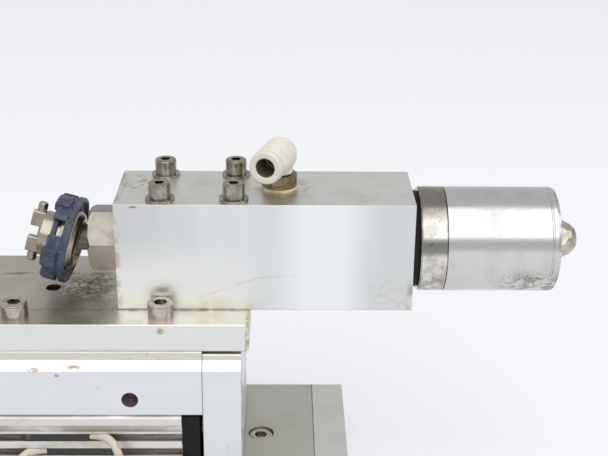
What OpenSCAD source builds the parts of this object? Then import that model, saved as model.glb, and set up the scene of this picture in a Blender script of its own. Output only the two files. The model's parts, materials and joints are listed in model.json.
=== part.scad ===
// Pneumatic slide table with a spray valve on its adapter plate.
// Twin-cylinder air slide on a base plate; the table carries a drilled valve block with a
// swivel nozzle at its left end, a push-in elbow on top and a return cylinder at its right end.
// X runs along the stroke, Y away from the switch side, Z up. The origin is under the middle of
// the slide body, on the face that the base stands on.

/* [Base] */
// Length of the base plate with its end bar
base_len = 204.4; // [196:0.2:240]
// Width of the base plate
base_w = 68; // [62:1:90]
// Thickness of the base plate
base_t = 12; // [10:0.5:18]
// Width of the bar along the right-hand end
end_bar_w = 11.4; // [9:0.2:14]
// Distance of the foot holes from the middle of the base
foot_hole_x = 72.2; // [66:0.2:76]

// Diameter of the foot holes
foot_hole_d = 5.5; // [5.2:0.1:6]

/* [Slide body] */
// Length of the slide body
body_len = 94; // [90:0.5:98]
// Width over the side walls of the table, and of the body
slide_w = 59.3; // [58:0.1:64]
// Height of the wide lower part of the body
body_h = 24.8; // [24.4:0.1:26]
// Wall between a bore and the side of the body
side_wall = 6.65; // [6:0.05:6.8]
// Wall between the two bores
middle_wall = 6; // [5:0.1:8]
// Height of the cylinder axes over the base
bore_h = 12.4; // [12.2:0.1:12.8]
// Diameter of the piston rods
rod_d = 10; // [8:0.1:11]
// Thickness of the table's side walls, outside its rails
table_wall = 8.15; // [7.6:0.05:8.6]
// Width of a guide rail
rail_w = 5; // [4.4:0.1:5.4]
// Height of a guide rail
rail_h = 8; // [7:0.1:8]
// Diameter of a guide roller
roller_d = 4; // [3.4:0.1:4.1]
// Rollers on each side
rollers_per_side = 11; // [5:1:11]
// Distance from one roller to the next
roller_pitch = 7; // [6:0.1:7.2]
// Width of a switch groove at its mouth
groove_w = 2.8; // [2.7:0.05:3.2]
// Distance between the two switch grooves
groove_pitch = 5.45; // [5:0.05:6]

/* [Table] */
// Height of the table top over the base
slide_h = 47; // [46.6:0.1:49]
// Length of the table beyond that of the body
table_over = 6; // [4:0.5:10]
// Width of the flat top of the table
top_w = 53.8; // [48:0.2:56]
// Thickness of the end plate
end_plate_t = 12.4; // [11:0.1:15]
// Stroke of the table
stroke = 20; // [8:1:20]
// Length of the adapter plate beyond that of the table
plate_over = 15; // [14:0.1:20]
// Thickness of the adapter plate
plate_t = 9.5; // [8:0.1:14]

/* [Valve block] */
// Length of the valve block
block_len = 95; // [88:0.5:105]
// Ledge of the adapter plate on each side of the valve block
plate_ledge = 11.3; // [10.9:0.1:11.8]
// Height of the valve block
block_h = 36.4; // [35:0.2:40]
// Length of the block that rests on the adapter plate
block_lap = 42.5; // [41:0.1:50]
// Height of the valve axis over the adapter plate
valve_h = 18.8; // [17.6:0.1:19.6]
// Diameter of the return cylinder
cylinder_d = 34.4; // [33:0.1:35]
// Length of the bright cylinder cap
cap_len = 36.3; // [34:0.1:42]
// Travel of the valve needle
needle_travel = 3; // [1:0.1:3.2]
// Distance of the elbow from the left face of the block
elbow_x = 52; // [50:0.1:60]

/* [Nozzle] */
// Tilt of the nozzle at rest, upwards from level
nozzle_tilt = 13; // [8:0.5:14]
// Swing of the nozzle at rest, sideways towards the back
nozzle_swing = 6; // [0:0.5:8]
// Diameter of the swivel ball
ball_d = 11.6; // [11.2:0.1:11.8]
// Width across the flats of the ball adapter
adapter_af = 19.4; // [18:0.1:19.6]
// Outer diameter of the retaining cap
cap_d = 28.8; // [28.4:0.1:30]
// Places for pads round the retaining cap, two of them taken by windows
cap_pads = 8; // [6:2:8]

/* [Leads] */
// Diameter of a switch lead
lead_d = 2.7; // [2.4:0.05:2.75]

/* [Fits] */
// Radial gap of a threaded or pressed-in piece
seat_gap = 0.05; // [0.03:0.01:0.1]
// Radial gap of a piston, rod or turning spigot
running_gap = 0.05; // [0.03:0.01:0.08]
// Gap between faces that slide past each other
slide_gap = 0.3; // [0.2:0.05:0.4]

/* [Hidden] */
$fn = 64;
eps = 0.02;

// Cap screw sizes: thread diameter, head diameter, head height, key size
m4 = [4, 7, 4, 3];
m5 = [5, 8.5, 5, 4];
counterbore_gap = 0.3;
screw_reach = 6.6;

// Base
base_x1 = base_len / 2;
bar_x0 = base_x1 - end_bar_w;
body_screw_x = body_len / 2 - 14;
body_screw_y = slide_w / 2 - 3.4;
body_screw_len = 14;
bar_screw_y = base_w / 2 - 12;
foot_counterbore = m5[2] + 0.6;

// Slide body, heights from the underside of the base
body_x = body_len / 2;
bore_d = (slide_w - middle_wall) / 2 - side_wall;
bore_pitch = bore_d + middle_wall;
bore_z = base_t + bore_h;
body_z1 = base_t + body_h;
bore_ys = [-bore_pitch / 2, bore_pitch / 2];
rail_z0 = body_z1 + 5.6;
rail_mid = rail_z0 + rail_h / 2;
neck_z1 = rail_z0 + rail_h + 0.2;
groove_zs = [body_z1 - 7.95 - groove_pitch, body_z1 - 7.95];
groove_depth = 2.6;
groove_r = 2.2;
band_z = [body_z1 - 5.75, body_z1 - 3.45];
band_depth = 0.8;
head_cap_len = 8;
ring_t = 1.2;
ring_inset = 0.9;
rod_cover_len = 26;
piston_len = 12;
port_r = 2.1;
head_cap_x1 = -body_x + ring_inset + ring_t + head_cap_len;
piston_x0 = head_cap_x1 + 5.9;
piston_x1 = piston_x0 + piston_len;
cover_x1 = body_x - ring_inset - ring_t;
cover_x0 = cover_x1 - rod_cover_len;
port_xs = [piston_x0 - 2.5, cover_x0 - port_r - 0.9];

// Table and its guide
table_x0 = -body_x + 1;
table_x1 = table_x0 + body_len + table_over;
table_z0 = body_z1 + 0.4;
table_z1 = base_t + slide_h;
table_inner = slide_w / 2 - table_wall;
chamfer_h = (slide_w - top_w) / 2;
shoulder_z = table_z1 - 3 - chamfer_h;
cage_gap = 2;
rail_y_table = table_inner - rail_w;
rail_y_body = rail_y_table - cage_gap - rail_w;
roller_y = rail_y_body + rail_w + cage_gap / 2;
vee = roller_d / 2 + 0.15;
cage_x = -5;
cage_len = (rollers_per_side - 1) * roller_pitch + 6;

// End plate
end_x1 = table_x1 + end_plate_t;
end_z0 = base_t + 1;
end_z1 = table_z1 - 1;
end_screw_zs = [rail_mid - 4, rail_mid + 4];
end_screw_y = slide_w / 2 - 4.15;
end_screw_len = 16;
rod_spigot_d = 6;
end_clearance = 1.2;

// Shock absorbers at the back
absorber_y = slide_w / 2 + 9.35;
absorber_z = rail_mid - 2.4;
absorber_mid = 8.7;
absorber_r = 5;
absorber_len = 32.4;
bracket_w = 11;
plunger_r = 1.5;
plunger_cap_r = 2.4;
plunger_cap_t = 2;
plunger_travel = 5;
striker_len = 34 - stroke;
striker_x0 = absorber_mid - (stroke + striker_len) / 2;
plunger_tip = (stroke + striker_len) / 2 + 0.4;
tube_x = plunger_tip + plunger_cap_t + plunger_travel + 0.2;
bracket_y1 = absorber_y + 7.5;
striker_screw_xs = [striker_x0 + striker_len / 2];

// Adapter plate
plate_x0 = table_x0;
plate_x1 = table_x1 + plate_over;
block_x = plate_x1 - block_lap;
block_w = top_w - 2 * plate_ledge;
plate_z1 = table_z1 + plate_t;
plate_screw_y = top_w / 2 - 6.5;
plate_screw_len = 14;
plate_screw_at = [
  [block_x + 14.2, -plate_screw_y], [block_x - 32.3, -plate_screw_y],
  [block_x + 14.2, plate_screw_y], [block_x - 55.6, plate_screw_y]
];
spare_hole = [block_x - 23.6, 0.5];
spare_hole_r = 2.5;

// Valve block
block_y = -0.4;
block_x1 = block_x + block_len;
block_z1 = plate_z1 + block_h;
valve_z = plate_z1 + valve_h;
block_screw_at = [for (x = [14.3, 37.6], y = [4.4 - block_w / 2, block_w / 2 - 4.4]) [block_x + x, y]];
block_screw_len = 45;
washer_t = 0.8;
washer_r = 4.65;
spring_washer_t = 1;
adapter_thread_r = 6.5;
adapter_thread_len = 10;
passage_r = 3;
spigot_r = 10;
spigot_len = 13.5;
air_port_x = block_x1 - 9;
air_port_r = 2.1;

// Return cylinder, along X
o_ring_t = 2.1;
ring_x0 = block_x1 + o_ring_t;
ring_len = 8.6;
ring_x1 = ring_x0 + ring_len;
cylinder_r = cylinder_d / 2;
cap_wall = 2.4;
cap_inner_r = cylinder_r - cap_wall;
cap_x1 = ring_x1 + cap_len;
cap_end_t = 4.5;
cap_thread_len = 5.8;
valve_piston_x = ring_x1 + cap_thread_len + 4;
valve_piston_t = 7;
spring_seat_t = 2.5;
spring_seat_x = cap_x1 - cap_end_t - 7.5;
spring_r = 6;
spring_wire = 1.3;
spring_turns = 3;
spring_x0 = valve_piston_x + valve_piston_t - 3;
spring_len = spring_seat_x - spring_x0 - needle_travel - 0.4;
needle_r = 2;
needle_tip_x = block_x - 2.5;
needle_cone = 3.2;
needle_tip_r = 0.5;
valve_seat_x = needle_tip_x - 0.2
  + needle_cone * (1.4 - needle_tip_r) / (needle_r - needle_tip_r);
adjuster_r = 4;
knob_af = 11.4;
knob_len = 7.4;

// Elbow on top of the block
elbow_turn = -18.5;
elbow_h = 11.3;
elbow_r = 5.5;
elbow_reach = 14.4;
elbow_boss_r = 4.3;
elbow_gasket_t = 0.9;
elbow_thread_r = 4.8;
elbow_hex_z = 5.2;
tube_hole_r = 3.05;
release_travel = 0.7;

// Swivel nozzle: its own axis is local Z, pointing out of the nozzle
ball_x = block_x - 19.5;
ball_r = ball_d / 2;
adapter_len = 10.84;
neck_r = 4.25;
adapter_turn = 39;
fluid_r = 1.4;
ball_flat = 3;
socket_r = ball_r + 2 * running_gap;
cap_r = cap_d / 2;
cap_face_z = 2.2;
rim_z = -5;
pad_angle = 26;
window_turn = -52;
horn_z = 8.2;
horn_turn = 18;

// Switches and leads
switch_len = 22;
switch_w = groove_w - 0.2;
switch_xs = [2.8, -4.9];
switch_face_y = -slide_w / 2 + 0.2;
lead_y = switch_face_y + lead_d / 2 - 0.05;
coil_r = 16.2;
coil_turns_across = 2;
coil_turns_high = 2;
upper_coil_at = [104.3, -66.2];
lower_coil_at = [-88.9, -66.2];
upper_route = [
  [17.1, lead_y, groove_zs[1]], [18.8, -28.3, groove_zs[1]], [20.4, -28.7, groove_zs[1]],
  [21.9, -29.4, groove_zs[1]], [23.2, -30.4, groove_zs[1]], [24.4, -31.6, 28.5],
  [25.5, -32.8, 27.8], [26.4, -33.9, 26.6], [27.2, -34.9, 24.9], [27.9, -35.7, 22.7],
  [28.5, -36.4, 20.1], [29, -37, 17.2], [29.4, -37.7, 14.2], [29.8, -38.8, 11.2],
  [30.3, -40.3, 8.4], [31.2, -42.2, 5.9], [32.7, -44.3, 3.8], [35, -46.3, 2.4],
  [38.2, -47.8, 1.6], [42, -48.5, 1.4], [46, -48.65, 1.4], [58, -48.65, 1.4],
  [70, -48.65, 1.4], [84, -48.65, 1.4], [98, -48.65, 1.4]
];
lower_route = [
  [2.8, lead_y, groove_zs[0]], [1.1, -28.3, groove_zs[0]], [-0.5, -28.7, groove_zs[0]],
  [-2, -29.4, groove_zs[0]], [-3.3, -30.4, groove_zs[0]], [-4.5, -31.6, 22.9],
  [-5.6, -32.8, 22.1], [-6.5, -33.9, 20.8], [-7.3, -34.9, 19], [-8, -35.8, 16.7],
  [-8.6, -36.6, 14.1], [-9.1, -37.6, 11.3], [-9.6, -39, 8.6], [-10.4, -40.9, 6.1],
  [-11.8, -43.2, 4], [-14, -45.5, 2.5], [-17, -47.3, 1.7], [-20.6, -48.3, 1.4],
  [-25, -48.65, 1.4], [-40, -48.65, 1.4], [-54, -48.65, 1.4], [-68, -48.65, 1.4],
  [-83, -48.65, 1.4]
];

// Shared shapes ------------------------------------------------------------------------------

// A cylinder along X between two places
module rod_x(r, x0, x1, y = 0, z = 0) {
  translate([x0, y, z]) rotate([0, 90, 0]) cylinder(r = r, h = x1 - x0);
}

// A cylinder along Y between two places
module rod_y(r, y0, y1, x = 0, z = 0) {
  translate([x, y0, z]) rotate([-90, 0, 0]) cylinder(r = r, h = y1 - y0);
}

// A block between two corners
module slab(a, b) {
  translate(a) cube(b - a);
}

// A profile of (Y, Z) points drawn out along X
module extrude_x(x0, x1, points) {
  translate([x0, 0, 0]) rotate([90, 0, 90]) linear_extrude(height = x1 - x0) polygon(points);
}

// A profile of (radius, length) points turned about X
module turned_x(x0, points, y = 0, z = 0) {
  translate([x0, y, z]) rotate([0, 90, 0]) rotate_extrude() polygon(points);
}

// A ring turned about Z
module ring(r0, r1, z0, z1) {
  rotate_extrude() polygon([[r0, z0], [r1, z0], [r1, z1], [r0, z1]]);
}

// Points of a half profile and their mirror image across Y = 0
function both_sides(half) = concat(
  half, [for (i = [len(half) - 1 : -1 : 0]) [-half[i][0], half[i][1]]]
);

// Radius at the corners of a hexagon of a given width across flats
function hex_r(af) = af / sqrt(3);

// A socket cap screw along Z, with the underside of its head at the origin
module cap_screw(size, length) {
  shank_r = size[0] / 2;
  head_r = size[1] / 2;
  head_h = size[2];
  bevel = 0.4;
  difference() {
    rotate_extrude() polygon([
      [0, -length], [shank_r - bevel, -length], [shank_r, -length + bevel], [shank_r, 0],
      [head_r, 0], [head_r, head_h - bevel * 1.5], [head_r - bevel * 0.4, head_h - bevel * 0.4],
      [head_r - bevel * 1.5, head_h], [0, head_h]
    ]);
    translate([0, 0, head_h / 2]) cylinder(r = hex_r(size[3]), h = head_h, $fn = 6);
  }
}

// The hole for such a screw, counterbored to a depth below the origin
module screw_hole(size, length, depth) {
  translate([0, 0, -depth - length]) cylinder(r = size[0] / 2 + seat_gap, h = length + depth);
  translate([0, 0, -depth]) cylinder(r = size[1] / 2 + counterbore_gap, h = depth + eps);
}

// The side outline shared by the table and the end plate: flat top, sloped shoulders
function shouldered(z0, z1) = [
  [slide_w / 2 - 0.3, z0], [slide_w / 2, z0 + 0.3], [slide_w / 2, shoulder_z],
  [top_w / 2, shoulder_z + chamfer_h], [top_w / 2, z1 - 0.4], [top_w / 2 - 0.4, z1]
];

// A tube swept along points, eight-sided
function unit(v) = v / norm(v);
function heading(p, i) = unit(p[min(i + 1, len(p) - 1)] - p[max(i - 1, 0)]);
function tube_ring(p, i, r, sides) = let (
  t = heading(p, i),
  a = unit(cross(t, abs(t[2]) > 0.9 ? [1, 0, 0] : [0, 0, 1])),
  b = cross(a, t)
) [for (k = [0 : sides - 1]) p[i] + r * (cos(360 * k / sides) * a + sin(360 * k / sides) * b)];
module swept_tube(p, r, sides = 8) {
  n = len(p);
  polyhedron(
    points = [for (i = [0 : n - 1]) each tube_ring(p, i, r, sides)],
    faces = concat(
      [[for (k = [0 : sides - 1]) k]],
      [for (i = [0 : n - 2], k = [0 : sides - 1]) let (
        a = i * sides + k, b = i * sides + (k + 1) % sides
      ) each [[a, a + sides, b + sides], [a, b + sides, b]]],
      [[for (k = [sides - 1 : -1 : 0]) (n - 1) * sides + k]]
    )
  );
}

// Base ----------------------------------------------------------------------------------------

// Puts its children on each screw place under the slide body, looking down
module at_body_screws() {
  for (x = [-body_screw_x, body_screw_x], y = [-body_screw_y, body_screw_y])
    translate([x, y, 0]) rotate([180, 0, 0]) children();
}

// Puts its children on the end bar's screws, looking out of its end face
module at_bar_screws() {
  for (y = [-bar_screw_y, bar_screw_y])
    translate([base_x1, y, base_t / 2]) rotate([0, 90, 0]) children();
}

module base_plate() {
  color("#a3a298") difference() {
    slab([-base_x1, -base_w / 2, 0], [bar_x0, base_w / 2, base_t]);
    at_body_screws() screw_hole(m4, body_screw_len, m4[2] + 0.5);
    at_bar_screws() screw_hole(m4, end_bar_w + screw_reach, 0);
    for (x = [-foot_hole_x, foot_hole_x]) translate([x, 0, -1]) {
      cylinder(r = foot_hole_d / 2, h = base_t + 2);
      translate([0, 0, 1 + base_t - foot_counterbore])
        cylinder(r = m5[1] / 2 + counterbore_gap, h = base_t);
    }
  }
}

module end_bar() {
  color("#b3b2ac") difference() {
    slab([bar_x0, -base_w / 2, 0], [base_x1, base_w / 2, base_t]);
    at_bar_screws() screw_hole(m4, end_bar_w, m4[2] + 0.4);
  }
}

module base_screws() {
  color("#6f6a62") {
    at_body_screws() translate([0, 0, -m4[2] - 0.5]) cap_screw(m4, body_screw_len);
    at_bar_screws() translate([0, 0, -m4[2] - 0.4])
      cap_screw(m4, end_bar_w - m4[2] - 0.4 + screw_reach);
  }
}

module foot_screw() {
  color("#8f8a82") translate([foot_hole_x, 0, base_t - foot_counterbore])
    cap_screw(m5, base_t - foot_counterbore - 0.4);
}

// Slide body ----------------------------------------------------------------------------------

// Half outline of the body: wide lower part, shoulders for the rails, neck between them
body_half = [
  [slide_w / 2 - 0.8, base_t], [slide_w / 2, base_t + 0.8], [slide_w / 2, band_z[0]],
  [slide_w / 2 - band_depth, band_z[0]], [slide_w / 2 - band_depth, band_z[1]],
  [slide_w / 2, band_z[1]], [slide_w / 2, body_z1 - 0.9], [slide_w / 2 - 0.9, body_z1],
  [rail_y_body + rail_w, body_z1], [rail_y_body + rail_w, rail_z0], [rail_y_body, rail_z0],
  [rail_y_body, neck_z1 - 0.5], [rail_y_body - 0.5, neck_z1]
];

// Slot for a switch, open to the front: a narrow mouth and a round bottom
module switch_groove(z, gap) {
  y = -slide_w / 2 + groove_depth;
  rod_x(groove_r - gap, -body_x - 1, body_x + 1, y, z);
  slab(
    [-body_x - 1, -slide_w / 2 - 1, z - groove_w / 2 + gap],
    [body_x + 1, y, z + groove_w / 2 - gap]
  );
}

module slide_body() {
  color("#c9cac6") difference() {
    extrude_x(-body_x, body_x, both_sides(body_half));
    for (y = bore_ys) {
      rod_x(bore_d / 2, -body_x - 1, body_x + 1, y, bore_z);
      for (x = [-body_x + ring_inset, body_x - ring_inset - ring_t])
        rod_x(bore_d / 2 + 0.7, x, x + ring_t, y, bore_z);
    }
    for (x = port_xs) rod_y(port_r, -bore_pitch / 2, slide_w / 2 + 1, x, bore_z);
    for (z = groove_zs) switch_groove(z, 0);
    at_body_screws() screw_hole(m4, m4[2] + 0.5 + body_screw_len, 0);
    at_brackets() at_bracket_screws() screw_hole(m4, bracket_foot_t + 6, 0);
  }
}

module head_caps() {
  color("#b9b6ae") for (y = bore_ys) turned_x(-body_x + ring_inset + ring_t, [
    [0, 0], [bore_d / 2 - seat_gap, 0], [bore_d / 2 - seat_gap, head_cap_len - 0.5],
    [bore_d / 2 - seat_gap - 0.5, head_cap_len], [0, head_cap_len]
  ], y, bore_z);
}

// Open rings sprung into their grooves, one at each end of each bore
module retaining_rings() {
  ring_r1 = bore_d / 2 + 0.6;
  color("#4a4742") for (y = bore_ys, side = [-1, 1]) difference() {
    translate([side * (body_x - ring_inset - ring_t / 2), y, bore_z]) rotate([0, 90, 0])
      ring(bore_d / 2 - 1.7, ring_r1, -ring_t / 2 + seat_gap, ring_t / 2 - seat_gap);
    slab(
      [side * body_x - 4, y - 2.5, bore_z - ring_r1 - 1],
      [side * body_x + 4, y + 2.5, bore_z - bore_d / 2 + 3]
    );
  }
}

module rod_covers() {
  color("#6b6459") for (y = bore_ys) turned_x(cover_x0, [
    [rod_d / 2 + running_gap, 0], [bore_d / 2 - seat_gap, 0],
    [bore_d / 2 - seat_gap, 4], [bore_d / 2 - 1.4, 4], [bore_d / 2 - 1.4, 6.2],
    [bore_d / 2 - seat_gap, 6.2], [bore_d / 2 - seat_gap, rod_cover_len],
    [rod_d / 2 + 1.2, rod_cover_len], [rod_d / 2 + 1.2, rod_cover_len - 3],
    [rod_d / 2 + running_gap, rod_cover_len - 3]
  ], y, bore_z);
}

// A guide rail with a vee down the side that faces the rollers
module vee_rail(x0, x1, side, inner_y, facing_out) {
  back_y = facing_out ? inner_y : inner_y + rail_w;
  face_y = facing_out ? inner_y + rail_w : inner_y;
  depth = vee * sqrt(2) - cage_gap / 2;
  apex_y = facing_out ? face_y - depth : face_y + depth;
  extrude_x(x0, x1, [for (p = [
    [back_y, rail_z0], [face_y, rail_z0], [face_y, rail_mid - depth], [apex_y, rail_mid],
    [face_y, rail_mid + depth], [face_y, rail_z0 + rail_h], [back_y, rail_z0 + rail_h]
  ]) [side * p[0], p[1]]]);
}

module body_rails() {
  color("#8d8a84") for (side = [-1, 1])
    vee_rail(-body_x + 2, body_x - 2, side, rail_y_body, true);
}

module table_rails() {
  color("#8d8a84") for (side = [-1, 1])
    vee_rail(table_x0 + 1, table_x1 - 4, side, rail_y_table, false);
}

// Roller places along X, in the middle of the stroke of the cage
roller_xs = [for (i = [0 : rollers_per_side - 1])
  cage_x + (i - (rollers_per_side - 1) / 2) * roller_pitch];

// Rollers lie across the vee, each turned a quarter turn from the one before
module guide_rollers() {
  color("#b5b2ab") for (side = [-1, 1], i = [0 : rollers_per_side - 1])
    translate([roller_xs[i], side * roller_y, rail_mid]) rotate([i % 2 == 0 ? 45 : -45, 0, 0])
      cylinder(r = roller_d / 2, h = roller_d - 0.2, center = true, $fn = 32);
}

module roller_cages() {
  color("#3a3733") for (side = [-1, 1]) difference() {
    slab(
      [cage_x - cage_len / 2, side * roller_y - 0.3, rail_mid - rail_h / 2 + 0.4],
      [cage_x + cage_len / 2, side * roller_y + 0.3, rail_mid + rail_h / 2 - 0.4]
    );
    for (x = roller_xs) slab(
      [x - roller_d / 2 - 0.1, side * roller_y - 1, rail_mid - roller_d / 2 - 0.85],
      [x + roller_d / 2 + 0.1, side * roller_y + 1, rail_mid + roller_d / 2 + 0.85]
    );
  }
}

// Black pad on the body's end face, round both rods, that the end plate meets last
module end_bumper() {
  bumper_y = slide_w / 2 - 2.4;
  color("#26241f") difference() {
    slab(
      [body_x, -bumper_y, base_t + 1.5],
      [table_x1 - end_clearance, bumper_y, body_z1 - 1.5]
    );
    for (y = bore_ys)
      rod_x(rod_d / 2 + slide_gap, body_x - 1, table_x1 + 1, y, bore_z);
  }
}

// Shock absorbers, brackets and striker at the back ------------------------------------------

bracket_foot_t = 6.3;

// Puts its children at both brackets, mirrored about the middle of the body
module at_brackets() {
  for (side = [-1, 1]) scale_side(side) translate([body_x - bracket_w, 0, 0]) children();
}

module scale_side(side) {
  mirror([side < 0 ? 1 : 0, 0, 0]) children();
}

module at_bracket_screws() {
  for (z = [bore_z - 6.4, bore_z + 5.6])
    translate([bracket_w / 2, slide_w / 2 + bracket_foot_t, z]) rotate([-90, 0, 0]) children();
}

module absorber_brackets() {
  foot_y = slide_w / 2 + bracket_foot_t;
  color("#9a9a96") at_brackets() difference() {
    extrude_x(0, bracket_w, [
      [slide_w / 2, base_t + 2], [foot_y, base_t + 2], [foot_y, bore_z + 9],
      [bracket_y1, bore_z + 9 + (bracket_y1 - foot_y) * 0.45], [bracket_y1, absorber_z + 6],
      [bracket_y1 - 1, absorber_z + 7], [slide_w / 2 + 1.5, absorber_z + 7],
      [slide_w / 2 + 1.5, body_z1 - 0.6], [slide_w / 2, body_z1 - 0.6]
    ]);
    rod_x(absorber_r + seat_gap, -1, bracket_w + 1, absorber_y, absorber_z);
    at_bracket_screws() screw_hole(m4, bracket_foot_t, 0);
  }
}

module bracket_screws() {
  color("#6f6a62") at_brackets() at_bracket_screws() cap_screw(m4, bracket_foot_t + 5.6);
}

// Puts its children on an absorber's axis, pointing away from the striker
module at_absorber(side) {
  translate([absorber_mid, absorber_y, absorber_z]) scale_side(side) children();
}

module absorber_tubes() {
  wall = 1.6;
  color("#b8b09a") for (side = [-1, 1]) at_absorber(side) turned_x(tube_x, [
    [plunger_r + running_gap, 0], [absorber_r - 0.6, 0], [absorber_r, 0.6],
    [absorber_r, absorber_len - 3], [absorber_r - 1, absorber_len - 3],
    [absorber_r - 1, absorber_len], [0, absorber_len], [0, absorber_len - 3],
    [absorber_r - wall, absorber_len - 3], [absorber_r - wall, 4],
    [plunger_r + running_gap, 4]
  ]);
}

// Each nut clamps its absorber on the side of the bracket that faces left
module absorber_nuts() {
  color("#8c887f") for (x = [-body_x + bracket_w, body_x])
    translate([x, absorber_y, absorber_z]) rotate([0, 90, 0]) difference() {
      cylinder(r = hex_r(14), h = 4, $fn = 6);
      translate([0, 0, -1]) cylinder(r = absorber_r + seat_gap, h = 6);
    }
}

// A sprung pin with a cushioned cap, out at its full length
module plunger(side) {
  stem_len = plunger_cap_t + plunger_travel + 9;
  color("#a8a49c") at_absorber(side) turned_x(plunger_tip, [
    [0, 0], [plunger_cap_r - 0.5, 0], [plunger_cap_r, 0.5], [plunger_cap_r, plunger_cap_t],
    [plunger_r, plunger_cap_t], [plunger_r, stem_len], [0, stem_len]
  ]);
}
module left_plunger() { plunger(-1); }
module right_plunger() { plunger(1); }

module at_striker_screws() {
  for (x = striker_screw_xs) translate([x, bracket_y1 - 0.5, absorber_z]) rotate([-90, 0, 0])
    children();
}
striker_counterbore = bracket_y1 - 0.5 - slide_w / 2 - 8.3;

module striker() {
  color("#9a9a96") difference() {
    extrude_x(striker_x0, striker_x0 + striker_len, [
      [slide_w / 2, absorber_z - 5.6], [bracket_y1 - 1.5, absorber_z - 5.6],
      [bracket_y1 - 0.5, absorber_z - 4.6], [bracket_y1 - 0.5, absorber_z + 4.6],
      [bracket_y1 - 1.5, absorber_z + 5.6], [slide_w / 2, absorber_z + 5.6]
    ]);
    at_striker_screws() screw_hole(m4, 20, striker_counterbore);
  }
}

module striker_screws() {
  color("#6f6a62") at_striker_screws() translate([0, 0, -striker_counterbore])
    cap_screw(m4, 14);
}

// Switches and leads --------------------------------------------------------------------------

// A switch that fills its groove and lies just below the mouth
module switch(x, z) {
  intersection() {
    switch_groove(z, 0.1);
    slab([x, switch_face_y, z - 5], [x + switch_len, 0, z + 5]);
  }
}
switch_screw_at = [[switch_xs[0] + switch_len - 2, groove_zs[0]], [switch_xs[1] + 2, groove_zs[1]]];
switch_screw_r = 1;
module clamp_hole(at) {
  rod_y(switch_screw_r + seat_gap, switch_face_y - 1, switch_face_y + 2.4, at[0], at[1]);
}
module upper_switch() {
  color("#24242a") difference() {
    switch(switch_xs[1], groove_zs[1]);
    clamp_hole(switch_screw_at[1]);
  }
}
module lower_switch() {
  color("#24242a") difference() {
    switch(switch_xs[0], groove_zs[0]);
    clamp_hole(switch_screw_at[0]);
  }
}
module switch_screws() {
  color("#8f8a82") for (at = switch_screw_at) difference() {
    rod_y(switch_screw_r, switch_face_y + 0.1, switch_face_y + 2.3, at[0], at[1]);
    slab(
      [at[0] - 2, switch_face_y - 1, at[1] - 0.15],
      [at[0] + 2, switch_face_y + 0.5, at[1] + 0.15]
    );
  }
}

module upper_lead() {
  color("#d9cdb4") swept_tube(upper_route, lead_d / 2);
}
module lower_lead() {
  color("#d9cdb4") swept_tube(lower_route, lead_d / 2);
}

// The outer shape of a neat round coil lying on the floor
module lead_coil(at) {
  half = coil_turns_across * lead_d / 2;
  color("#d9cdb4") translate([at[0], at[1], 0])
    ring(coil_r - half, coil_r + half, 0, coil_turns_high * lead_d);
}
module upper_lead_coil() { lead_coil(upper_coil_at); }
module lower_lead_coil() { lead_coil(lower_coil_at); }

// Table ---------------------------------------------------------------------------------------

module table() {
  rail_top = rail_z0 + rail_h;
  color("#d3d7dc") difference() {
    extrude_x(table_x0, table_x1, both_sides(shouldered(table_z0, table_z1)));
    slab([table_x0 - 1, -table_inner, table_z0 - 1], [table_x1 + 1, table_inner, rail_top]);
    slab(
      [table_x0 - 1, -table_inner + 3, rail_top - 1],
      [table_x1 + 1, table_inner - 3, neck_z1 + 1.6]
    );
    for (at = plate_screw_at) translate([at[0], at[1], table_z1])
      screw_hole(m5, plate_screw_len - plate_t + 0.3, 0);
    at_end_screws(table_x1) screw_hole(m4, end_screw_len - end_plate_t + m4[2] + 1, 0);
    at_striker_screws() screw_hole(m4, bracket_y1 - slide_w / 2 + 7, 0);
    rod_y(2.7, -slide_w / 2 - 1, -slide_w / 2 + 5, block_x + 4.2, rail_mid - 3.5);
  }
}

module at_end_screws(x) {
  for (y = [-end_screw_y, end_screw_y], z = end_screw_zs)
    translate([x, y, z]) rotate([0, 90, 0]) children();
}

module at_rod_ends(x) {
  for (y = bore_ys) translate([x, y, bore_z]) rotate([0, 90, 0]) children();
}

module end_plate() {
  relief_t = 0.6;
  color("#cdd2d6") difference() {
    extrude_x(table_x1, end_x1, both_sides(shouldered(end_z0, end_z1)));
    at_end_screws(end_x1) screw_hole(m4, end_plate_t, m4[2] + 0.3);
    at_rod_ends(end_x1) screw_hole(m5, end_plate_t, m5[2] + 0.3);
    slab(
      [end_x1 - relief_t, slide_w / 2 - 3.4, end_z0 - 1],
      [end_x1 + 1, slide_w / 2 + 1, end_z1 + 1]
    );
  }
}

module end_plate_screws() {
  color("#6f6a62") at_end_screws(end_x1 - m4[2] - 0.3) cap_screw(m4, end_screw_len);
}

module piston_rods() {
  color("#b9b9b6") for (y = bore_ys) difference() {
    turned_x(piston_x0, [
      [0, 0], [rod_spigot_d / 2, 0], [rod_spigot_d / 2, piston_len], [rod_d / 2, piston_len],
      [rod_d / 2, table_x1 - piston_x0 - 0.6], [rod_d / 2 - 0.6, table_x1 - piston_x0],
      [0, table_x1 - piston_x0]
    ], y, bore_z);
    rod_x(m5[0] / 2 + seat_gap, table_x1 - 12, table_x1 + 1, y, bore_z);
  }
}

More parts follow.
